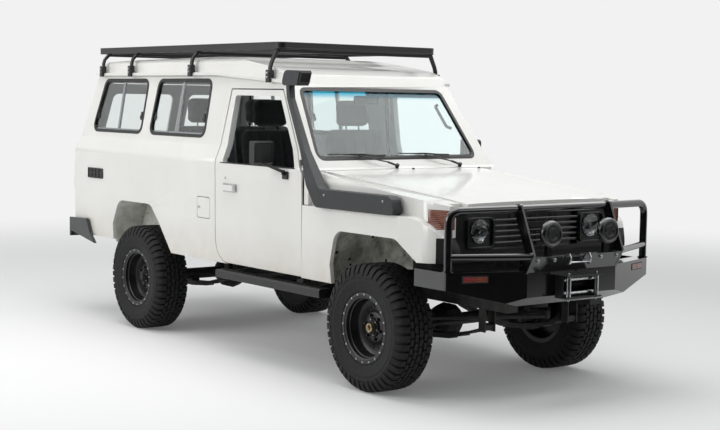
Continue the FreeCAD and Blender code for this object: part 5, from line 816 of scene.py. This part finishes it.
# Front and rear seats. Sprung steel frames under moulded foam, covered in black cloth in front and grey
# cloth behind, sewn into upright flutes. Each headrest stands on two plated posts.
def pad(size, flutes=0, crown=0.012, sway=0.002):
    """A foam cushion round the origin, with full rounded edges and sewn flutes on its front (+x) face."""
    shape = bmesh.new()
    bmesh.ops.create_cube(shape, size=2.0)
    for axis, count in enumerate((8, max(14, 10 * flutes), 12)):
        edges = [edge for edge in shape.edges if all(
            abs(gap) < 1e-6 for other, gap in enumerate(edge.verts[0].co - edge.verts[1].co)
            if other != axis)]
        bmesh.ops.subdivide_edges(shape, edges=edges, cuts=count - 1, use_grid_fill=True)
    half = Vector(size) / 2
    soft = min(half) * 0.85
    for vert in shape.verts:
        unit = vert.co.copy()
        spot = unit * half
        core = Vector([max(-h + soft, min(h - soft, c)) for c, h in zip(spot, half)])
        away = spot - core
        if away.length > 1e-6:
            spot = core + away.normalized() * min(max(abs(c) for c in away), soft)
        dome = (1 - unit.y ** 2) * (1 - unit.z ** 2)
        spot.x += crown * dome * (1 if unit.x > 0 else -0.6)
        spot.y += sway * math.sin(unit.z * 5.1 + unit.x) * unit.y
        if flutes and unit.x > 0.2:
            seam = abs(math.sin(math.pi * flutes * (unit.y + 1) / 2))
            rim = (max(0.0, min(1.0, (0.86 - abs(unit.z)) / 0.1)) *
                   max(0.0, min(1.0, (0.9 - abs(unit.y)) / 0.06)))
            border = math.exp(-((abs(unit.z) - 0.86) / 0.05) ** 2)
            spot.x -= 0.011 * (1 - seam) ** 3 * rim + 0.006 * border * (1 if abs(unit.y) < 0.92 else 0)
        vert.co = spot
    return mesh_of(shape)


def woven(name, dark, light):
    """Flat woven seat cloth with two sets of threads."""
    cloth = patchy_finish(name, 0.04, dark, light, roughness=0.92, sheen_weight=0.35, sheen_roughness=0.5)
    tree = cloth.node_tree
    place = add_node(tree, "TexCoord").outputs["Object"]
    warp, weft = [add_node(tree, "TexWave", {"Vector": place}, scale=31.25, distortion=0.6,
                           bands_direction=way)
                  for way in ("Y", "Z")]
    raised(cloth, masks("MAXIMUM", warp.outputs["Fac"], weft.outputs["Fac"]), 0.7, 0.0004)
    return cloth


# Black woven cloth, which gives a deep charcoal with a soft nap.
black_cloth = woven("black_woven_seat_cloth", "#17181A", "#242628")
# Grey woven cloth, a mid grey like the trim round it.
grey_cloth = woven("grey_woven_seat_cloth", "#5E6264", "#74787A")
pads = (("cushion", pad((0.13, 0.515, 0.5), 5), -0.205, 1.018, -87),
        ("back", pad((0.118, 0.51, 0.6), 5), -0.49, 1.312, -8),
        ("headrest", pad((0.1, 0.27, 0.196), crown=0.008), -0.556, 1.735, -4))
seat_rows = (("front", -1.29, (-0.38, 0.38), black_cloth, moulded_black, 0.8),
             ("rear", -2.42, (-0.275, 0.275), grey_cloth, bright_plate, 0.75))
for name, x, seat_places, cloth, post_finish, fill in seat_rows:
    for part, foam, behind, height, lean in pads:
        piece = put(name + "_seat_" + part + "s", "seat_fabric", cloth,
                    *[moved(foam, stand(x + behind, y, height, lean, "Y")) for y in seat_places],
                    replaces=[name + "_seats"] if part == "cushion" else (), smooth=180)
        level = 0.9 if part == "headrest" else fill
    posts = []
    for y in seat_places:
        posts += [pipe([at(x - 0.54, y + side, 1.57), at(x - 0.553, y + side, 1.7)], 0.0065, sides=12)
                  for side in (-0.06, 0.06)]
        posts.append(block(x - 0.42, x, y - 0.2, y + 0.2, 0.747, 0.8))
        posts += [block(x - 0.4, x - 0.02, y + side, y + side + 0.03, 0.79, 0.945)
                  for side in (-0.215, 0.185)]
    put(name + "_seat_frames", "seat_fabric", post_finish, *posts, edge=0.002)

# Dashboard, binnacle, wheel and small cabin fittings. A padded vinyl top over moulded panels, the wheel
# of soft plastic on a steel rim, and a mirror, levers and a pillar handle screwed to the frame.
# Slush-moulded vinyl. It gives a dark blue-grey without gloss, over a coarse leather grain.
dash_vinyl = patchy_finish("grained_dashboard_vinyl", 0.08, "#2C3033", "#383C3F", grain=(0.0025, 0.0003),
                           roughness=0.7)
# Soft wheel plastic, a mid grey with a low sheen.
grip_plastic = patchy_finish("soft_grey_wheel_plastic", 0.03, "#33373A", "#3E4245", roughness=0.5)
dress("dashboard", dash_vinyl, 0.012)
dials = [moved(turned([(0.0, 0.0), (0.0, r), (0.004, r + 0.004), (-0.003, r + 0.004), (-0.003, 0.0)], 24),
               stand(-1.0275, y, z, 90))
         for r, y, z in ((0.045, 0.3, 1.335), (0.045, 0.46, 1.335), (0.024, 0.38, 1.35))]
put("instrument_dials", "black_plastic", moulded_black, *dials)
vents = [frame_plate((y - 0.06, y + 0.06, 1.262, 1.306), 0.008, (0.008, 0.005), "x", -1.04, -1.056)
         for y in (-0.62, -0.02, 0.13)]
put("dash_vents", "black_plastic", moulded_black, *vents, edge=0.0012)
column_lean = math.radians(22)
wheel_axis = Vector((-math.cos(column_lean), 0, math.sin(column_lean)))
centre = at(-1.095, 0.38, 1.262)
across = Vector((0, 1, 0))
down = wheel_axis.cross(across).normalized()
rim = pipe([centre + (across * math.cos(a) + down * math.sin(a)) * 0.188
            for a in [math.tau * k / 48 for k in range(48)]],
           0.0142, closed=True)
spokes = [pipe([centre + wheel_axis * 0.004, centre + direction * 0.1 + wheel_axis * 0.01,
                centre + direction * 0.184],
               0.012, bend=0.05, flat=0.7) for direction in (across, -across, down)]
boss = turned([(-0.03, 0.0), (-0.03, 0.046), (0.01, 0.06), (0.024, 0.052), (0.028, 0.03), (0.029, 0.0)], 32)
boss.transform(Matrix.Translation(centre) @ wheel_axis.to_track_quat("Y", "Z").to_matrix().to_4x4())
put("steering_wheel_trim", "black_plastic", grip_plastic, rim, boss, *spokes,
    body="steering_wheel", replaces=["steering_wheel"])
mirror_glass = plate(rectangle(-0.11, 0.11, 1.812, 1.872, 0.022), "x", -1.16, -1.178)
mirror_stem = pipe([at(-1.15, 0, 1.9), at(-1.15, 0, 1.87), at(-1.164, 0, 1.842)], 0.007, bend=0.02, sides=12)
put("inside_mirror", "black_plastic", moulded_black, mirror_glass, mirror_stem, edge=0.004)
grab = pipe([on_screen(0.664, 1.64, -0.085), on_screen(0.634, 1.655, -0.1), on_screen(0.61, 1.8, -0.1),
             on_screen(0.628, 1.815, -0.085)], 0.011, bend=0.03, sides=12)
put("pillar_grab_handle", "black_plastic", grip_plastic, grab)
levers = [pipe([at(-1.05, y0, 1.215), at(-1.05, y1, 1.235)], 0.006, sides=10)
          for y0, y1 in ((0.4, 0.52), (0.36, 0.24))]
gear_lever = pipe([at(-1.22, 0.04, 0.745), at(-1.25, 0.06, 0.96), at(-1.28, 0.06, 1.12)], 0.009, bend=0.1,
                  sides=12)
knob = turned([(-0.024, 0.0), (-0.024, 0.014), (0.0, 0.022), (0.018, 0.016), (0.024, 0.0)], 20)
put("control_levers", "black_plastic", moulded_black, gear_lever,
    moved(knob, stand(-1.285, 0.06, 1.135, 90, "X")),
    *levers)


# Grille, headlamps and corner lamps. The grille is one moulding in satin black with bars across its mouth.
# A projector stands in a plated bowl in each headlamp, and the corner lamps are ribbed amber acrylic.
def ribbed_acrylic(name, dark, light, ribs_scale, **settings):
    """Lamp acrylic, moulded with small ribs on its inside."""
    acrylic = patchy_finish(name, 0.03, dark, light, roughness=0.12, ior=1.49, **settings)
    tree = acrylic.node_tree
    place = add_node(tree, "TexCoord").outputs["Object"]
    ribs = add_node(tree, "TexWave", {"Vector": place}, scale=ribs_scale, bands_direction="Z")
    raised(acrylic, ribs.outputs["Fac"], 0.8, 0.002)
    return acrylic


def cad_part(name, wanted):
    """The part of a CAD node whose faces pass a test, as one merged mesh."""
    shape = bmesh.new()
    shape.from_mesh(nodes[name].data)
    rest = [face for face in shape.faces if not wanted(face.calc_center_median())]
    bmesh.ops.delete(shape, geom=rest, context="FACES")
    bmesh.ops.remove_doubles(shape, verts=shape.verts, dist=0.0002)
    bmesh.ops.dissolve_limit(shape, angle_limit=math.radians(1), verts=shape.verts, edges=shape.edges)
    return mesh_of(shape)


# Satin grille plastic under a thin lacquer, a clean black with a broad soft gloss.
grille_plastic = patchy_finish("moulded_satin_grille_plastic", 0.06, "#0D0E0F", "#161718",
                               grain=(0.004, 0.00006),
                               roughness=0.26, coat_weight=0.5, coat_roughness=0.15)
# Vacuum-plated lamp bowl, near a mirror.
bowl_plate = patchy_finish("vacuum_plated_bowl", 0.02, "#8E9194", "#A6A9AB", metallic=1.0, roughness=0.08)
# Clear lamp glass, thin and even.
lamp_glass = patchy_finish("clear_lamp_glass", 0.03, "#F2F6F8", "#FAFBFC", wear=(0.02, 0.0, 0.02),
                           ior=1.46, transmission_weight=1.0)
# Amber acrylic, a deep orange-brown that is barely clear.
amber_acrylic = ribbed_acrylic("amber_lamp_acrylic", "#6A2A06", "#84380A", 28.0, transmission_weight=0.2,
                               coat_weight=0.4)
# Red acrylic, a little clearer and with more gloss.
red_acrylic = ribbed_acrylic("red_lamp_acrylic", "#7C0A0C", "#981012", 30.0, transmission_weight=0.3,
                             coat_weight=0.6)
dress("grille", grille_plastic, 0.003)
bars = [pipe([at(0.617, -0.352, z), at(0.617, 0.352, z)], 0.0085, sides=14, flat=0.7)
        for z in (0.9795, 1.015, 1.05, 1.085, 1.1205)]
bars += [pipe([at(0.612, y, 0.95), at(0.612, y, 1.15)], 0.006, sides=10) for y in (-0.18, 0.0, 0.18)]
name_plate = plate(rectangle(-0.15, 0.15, 1.066, 1.104, 0.006), "x", 0.612, 0.626)
put("grille_bars", "black_plastic", grille_plastic, name_plate, *bars, edge=0.0015)
lamp_sides = (-0.482, 0.482)
bezels = [frame_plate((y - 0.1085, y + 0.1085, 0.9545, 1.1435), 0.008, (0.032, 0.026), "x", 0.63, 0.6365)
          for y in lamp_sides]
put("headlamp_bezels", "black_plastic", grille_plastic, *bezels, edge=0.002)
bowl = turned([(-0.006, 0.0), (-0.006, 0.03), (0.004, 0.052), (0.016, 0.0665), (0.026, 0.0725),
               (0.026, 0.0745),
               (-0.012, 0.0745), (-0.012, 0.0)], 48)
shroud = turned([(0.016, 0.0), (0.016, 0.028), (0.0195, 0.036), (0.014, 0.042), (-0.005, 0.044),
                 (-0.005, 0.0)], 48)
eye = turned([(0.01, 0.0), (0.01, 0.0265), (0.018, 0.0255), (0.0245, 0.02), (0.0275, 0.012), (0.0285, 0.0)],
             40)
lens = turned([(0.0265, 0.0), (0.0265, 0.0735), (0.029, 0.0735), (0.0315, 0.06), (0.0335, 0.04),
               (0.035, 0.02),
               (0.0355, 0.0)], 48)
side_bulb = turned([(0.006, 0.0), (0.006, 0.01), (0.014, 0.0095), (0.019, 0.005), (0.02, 0.0)], 20)
headlamp = merged(finished(bowl, bowl_plate), finished(shroud, grille_plastic), finished(eye, lamp_glass),
                  finished(lens, lamp_glass), finished(shifted(side_bulb, 0.052, 0.0, -0.012), lamp_glass))
corner_lenses = cad_part("lamps", lambda c: c.x > AXLE_X and abs(c.y) > 0.68)
tail_lenses = cad_part("lamps", lambda c: c.x < 0)
put("lamp_set", "lamp_glass", None, *[moved(headlamp, stand(0.598, y, 1.06, -90)) for y in lamp_sides],
    finished(corner_lenses, amber_acrylic), finished(tail_lenses, red_acrylic), replaces=["lamps"], smooth=40)
put("corner_lamp_rims", "black_plastic", moulded_black,
    both_sides(block(0.6285, 0.6335, -0.7315, -0.7245, 1.077, 1.194)), edge=0.001)
tail_rims = [prism(*[[at(x, y, z)
                      for x, y in ((x0, -0.815), (x0, -0.749), (x0 + 0.02, -0.749), (x0 + 0.02, -0.815))]
                     for x0, z in ((back, low), (back + 0.0005, high))])
             for back, low, high in ((-4.1875, 1.137, 1.142), (-4.18, 1.213, 1.217))]
put("tail_lamp_rims", "black_plastic", moulded_black, both_sides(*tail_rims))

# Bull bar. Pressed and folded steel with welded tube loops and two bent flat uprights, all in gloss black
# powder coat. A steel plate with bolts and two pins covers the winch, and a roller fairlead stands before it.
# Gloss powder coat over steel. It gives a wet black with an orange-peel skin, which draws the soft boxes.
gloss_coat = patchy_finish("gloss_black_powder_coat", 0.08, "#070708", "#0D0D0E", grain=(0.006, 0.00012),
                           roughness=0.16, coat_weight=0.8, coat_roughness=0.05)
dress("bull_bar", gloss_coat, 0.004)
loops = [pipe([at(0.752, -0.846, 0.835), at(0.752, -0.846, 1.202), at(0.848, -0.402, 1.208),
               at(0.848, 0.402, 1.208),
               at(0.752, 0.846, 1.202), at(0.752, 0.846, 0.835)], 0.0242, bend=0.08, sides=28)]
for sign in (-1, 1):
    loops.append(pipe([at(0.752, sign * 0.846, 0.93), at(0.967, sign * 0.382, 0.93)], 0.0212, sides=24))
    loops.append(pipe([at(0.7525, sign * 0.846, 0.842), at(0.7525, sign * 0.846, 0.85)], 0.033, sides=24))
put("bull_bar_tubes", "black_coat", gloss_coat, *loops)
put("winch_cover_bolts", "bare_steel", zinc_plate,
    *[moved(bolt(0.011, 0.01), stand(0.9885, y, 0.905, -90)) for y in (-0.34, -0.2, 0.2, 0.34)])
pins = [pipe([at(0.99, y, 0.872), at(1.006, y, 0.876), at(1.012, y, 0.908), at(0.998, y, 0.935)], 0.0065,
             bend=0.02, sides=12) for y in (-0.085, 0.085)]
pins.append(pipe([at(1.004, -0.085, 0.884), at(1.004, 0.085, 0.884)], 0.0045, sides=10))
put("winch_cover_pins", "bare_steel", bright_plate, *pins)
rope_turns = [(-0.12 + k * 0.01 + j * 0.005, 0.034 + 0.004 * j) for k in range(24) for j in (0, 1)]
winch_drum = turned([(-0.128, 0.0), (-0.128, 0.047), (-0.122, 0.047), (-0.122, 0.03)] + rope_turns +
                    [(0.122, 0.03), (0.122, 0.047), (0.128, 0.047), (0.128, 0.0)], 28)
put("winch_drum", "bare_steel", cast_iron, moved(winch_drum, stand(0.905, 0, 0.737)))

# Fairlead. Four turned rollers of bright steel in a black cast frame, which is bolted to the pan before the
# winch. The upright rollers turn on plated pins that show above and below the frame.
rollers = []
for y in (-0.119, 0.119):
    rollers.append(finished(pipe([at(1.03, y, 0.6765), at(1.03, y, 0.7975)], 0.0158, sides=28), bright_plate))
    rollers.append(finished(pipe([at(1.03, y, 0.65), at(1.03, y, 0.8235)], 0.0075, sides=16), zinc_plate))
rollers += [finished(pipe([at(0.992, -0.1395, z), at(0.992, 0.1395, z)], 0.0138, sides=24), bright_plate)
            for z in (0.694, 0.78)]
frame_bars = [block(0.9445, 1.05, -0.15, 0.15, z, z + 0.01) for z in (0.666, 0.798)]
frame_bars += [block(0.9445, 1.011, y, y + 0.01, 0.6765, 0.7975) for y in (-0.15, 0.14)]
put("roller_fairlead", "bare_steel", None, *rollers, *[finished(bar, moulded_black) for bar in frame_bars],
    replaces=["fairlead"], edge=0.0012)


# Marker lamps let into the swept ends of the pan. Each is an amber and a red half of moulded acrylic in one
# black plastic rim, held by screws from behind.
def on_pan(sign, y0, y1, z0, z1, out):
    """A flat piece let into the swept face of the pan, and standing out of it by this much."""
    sweep_back = 0.169 / 0.49
    return prism(*[[at(0.944 - (y - 0.382) * sweep_back + face, sign * y, z)
                    for y, z in ((y0, z0), (y1, z0), (y1, z1), (y0, z1))] for face in (-0.004, out)])


markers = []
for sign in (-1, 1):
    markers.append(finished(on_pan(sign, 0.628, 0.7, 0.784, 0.816, 0.0045), amber_acrylic))
    markers.append(finished(on_pan(sign, 0.702, 0.774, 0.784, 0.816, 0.0045), red_acrylic))
    markers.append(finished(on_pan(sign, 0.62, 0.782, 0.777, 0.823, 0.0015), moulded_black))
put("bar_marker_lamps", "lamp_glass", None, *markers, edge=0.0015)

# Driving lamps. A pressed steel shell on a foot, with a moulded black stone cover clipped over the glass.
# The covers keep their rings and bars, and their faces are left bare.
cover_ring = turned([(0.05, 0.0), (0.05, 0.058), (0.0545, 0.062), (0.0565, 0.0675), (0.0545, 0.073),
                     (0.05, 0.0765),
                     (0.044, 0.0805), (0.03, 0.0815), (0.03, 0.0)], 56)
lamp_shell = turned([(0.03, 0.0), (0.03, 0.0795), (0.018, 0.079), (0.006, 0.07), (-0.01, 0.05),
                     (-0.026, 0.03),
                     (-0.028, 0.0)], 48)
centre_ring = turned([(0.049, 0.0), (0.049, 0.03), (0.0545, 0.033), (0.0545, 0.037), (0.049, 0.04),
                      (0.048, 0.0)], 48)
round_unit = merged(finished(cover_ring, grille_plastic), finished(lamp_shell, gloss_coat),
                    finished(centre_ring, grille_plastic))
lamp_height, cover_radius = 1.064, 0.058
lamp_units = []
for y in (-0.246, 0.246):
    lamp_units.append(moved(round_unit, stand(0.964, y, lamp_height, -90)))
    for z in (1.026, 1.102):
        reach = math.sqrt(cover_radius ** 2 - (z - lamp_height) ** 2)
        lamp_units.append(finished(block(1.0125, 1.017, y - reach, y + reach, z - 0.006, z + 0.006),
                                   grille_plastic))
    lamp_units.append(finished(block(0.965, 0.989, y - 0.022, y + 0.022, 0.9285, 0.996), gloss_coat))
    lamp_units.append(finished(bolt(0.01, 0.008), zinc_plate, stand(0.977, y, 0.9365, 90, "X")))
put("driving_lamps_dressed", "lamp_glass", None, *lamp_units, replaces=["driving_lamps"], edge=0.001)

# Snorkel. Rotomoulded polyethylene in matt dark grey, bolted to the wing and the windscreen pillar, with a
# ram head clamped on top whose mouth holds a coarse mesh.
# Rotomoulded polyethylene. It gives a chalky dark grey with a fine even pebble.
snorkel_plastic = patchy_finish("matt_rotomoulded_polyethylene", 0.06, "#212325", "#2A2C2E",
                                grain=(0.0028, 0.00022), roughness=0.56)
dress("snorkel", snorkel_plastic, 0.018, 4)
mouth = frame_plate((-0.828, -0.74, 1.952, 2.028), 0.008, (0, 0), "x", -0.832, -0.818)
wire = 0.0012
mesh_lines = [block(-0.826, -0.82, y - wire, y + wire, 1.958, 2.022)
              for y in [-0.82 + 0.009 * k for k in range(1, 8)]]
mesh_lines += [block(-0.826, -0.82, -0.822, -0.746, z - wire, z + wire)
               for z in [1.96 + 0.01 * k for k in range(1, 6)]]
leaning_forward = stand(-0.8275, 0, 1.99, 19, "Y") @ Matrix.Translation(-at(-0.8275, 0, 1.99))
put("snorkel_mouth", "black_plastic", moulded_black, moved(merged(mouth, *mesh_lines), leaning_forward))
put("snorkel_fixings", "bare_steel", zinc_plate,
    *[moved(bolt(0.006, 0.006, 10), stand(x, -0.8905, 1.225, 180)) for x in (0.18, -0.44)])

# Mirrors. Moulded black heads on short folded arms, each turning on a round knuckle that is screwed to the
# door. Flat silvered glass, drawn with the bright plate, faces the cabin inside a moulded lip.
mirror_face = plate(rectangle(-1.02, -0.882, 1.41, 1.544, 0.012), "x", -1.1225, -1.1245)
mirror_lip = frame_plate((-1.022, -0.88, 1.408, 1.546), 0.008, (0.014, 0.01), "x", -1.0565, -1.059)
mirror_knuckle = pipe([at(-0.945, -0.87, 1.33), at(-0.945, -0.87, 1.362)], 0.012, sides=16)
for label, sign in car_sides:
    dress("mirror_" + label, moulded_black, 0.01, 3)
    put("mirror_trim_" + label, "black_plastic", None,
        on_side(sign, finished(mirror_face, bright_plate), finished(mirror_lip, moulded_black),
                finished(mirror_knuckle, moulded_black)), body="door_" + label, edge=0.001)

# Roof rack. Extruded aluminium rails and slats in satin black powder coat, bolted to eight steel legs whose
# feet clamp round the gutter.
# Satin powder coat. It gives a soft black that is even over rails and legs, under a fine peel.
satin_coat = patchy_finish("satin_black_powder_coat", 0.05, "#0D0E0F", "#141516", grain=(0.003, 0.00015),
                           roughness=0.42)
rack_back, rack_front, slat_count = -3.979, -1.231, 12
rail = frame_plate((rack_back, rack_front, -0.714, 0.714), 0.035, (0.06, 0.03), "z", 2.19, 2.241, 8)
ridges = [frame_plate((-3.9805, -1.2295, -0.7155, 0.7155), 0.0055, (0.0615, 0.056), "z", z0, z1, 8)
          for z0, z1 in ((2.1915, 2.2005), (2.23, 2.2395))]
legs_along = ((-3.8, 2.03), (-3.31, 2.03), (-2.36, 2.03), (-1.29, 1.986))
crossings = [block(x - 0.02, x + 0.02, -0.69, 0.69, 2.168, 2.19) for x, _ in legs_along]
pitch = (rack_front - rack_back) / slat_count
slat_outline = rounded([(-0.045, 2.217, 0.004), (0.045, 2.217, 0.004), (0.045, 2.237, 0.006),
                        (0.008, 2.237, 0.001),
                        (0.008, 2.232, 0.001), (-0.008, 2.232, 0.001), (-0.008, 2.237, 0.001),
                        (-0.045, 2.237, 0.006)], 3)
slat = plate([(rack_back + pitch / 2 + x, z) for x, z in slat_outline], "y", -0.682, 0.682)
put("roof_rack_tray", "black_coat", satin_coat, rail, *ridges, *crossings, replaces=["roof_rack"],
    edge=0.0025)
put("roof_rack_slats", "black_coat", satin_coat, repeated(slat, satin_coat, slat_count, step=(pitch, 0, 0)),
    edge=0.0008)
legs, leg_bolts = [], []
for x, gutter in legs_along:
    arm = plate([(-0.757, gutter + 0.02), (-0.763, gutter + 0.075), (-0.75, gutter + 0.115), (-0.706, 2.196),
                 (-0.69, 2.196), (-0.69, 2.18), (-0.736, gutter + 0.105), (-0.745, gutter + 0.072),
                 (-0.741, gutter + 0.02)], "x", x - 0.016, x + 0.016)
    foot = block(x - 0.028, x + 0.028, -0.7755, -0.74, gutter + 0.0005, gutter + 0.058)
    clamp = block(x - 0.024, x + 0.024, -0.7785, -0.76, gutter - 0.03, gutter + 0.046)
    legs.append(both_sides(arm, foot, clamp))
    leg_bolts.append(both_sides(moved(bolt(0.008, 0.01), stand(x, -0.7785, gutter + 0.034, 180)),
                                moved(bolt(0.007, 0.008), stand(x, -0.7785, gutter + 0.006, 180))))
put("roof_rack_legs", "black_coat", satin_coat, *legs, edge=0.0025)
put("roof_rack_bolts", "black_coat", zinc_plate, *leg_bolts)

# Side steps, rear bumper and fuel tank. Folded steel, the steps in satin black with ribbed rubber treads
# glued on, the bumper in satin grey paint and the tank in dull paint under road dust.
dress("side_steps", satin_coat, 0.01, 3)
step_ribs = [block(-1.705 + 0.055 * k, -1.68 + 0.055 * k, -0.886, -0.822, 0.6045, 0.6085) for k in range(22)]
put("step_treads", "black_coat", seal_rubber, both_sides(*step_ribs), edge=0.001)
# Satin bumper paint, a dark grey with a light skin.
bumper_coat = patchy_finish("satin_grey_bumper_paint", 0.06, "#26282A", "#303335", grain=(0.003, 0.0001),
                            roughness=0.38, coat_weight=0.2)
dress("rear_bumper", bumper_coat, 0.006, 3)
# Painted tank steel, a dull black that dust has browned in patches.
tank_steel = patchy_finish("painted_tank_steel", 0.08, "#131415", "#2A2926", roughness=0.5)
dress("fuel_tank", tank_steel, 0.006)
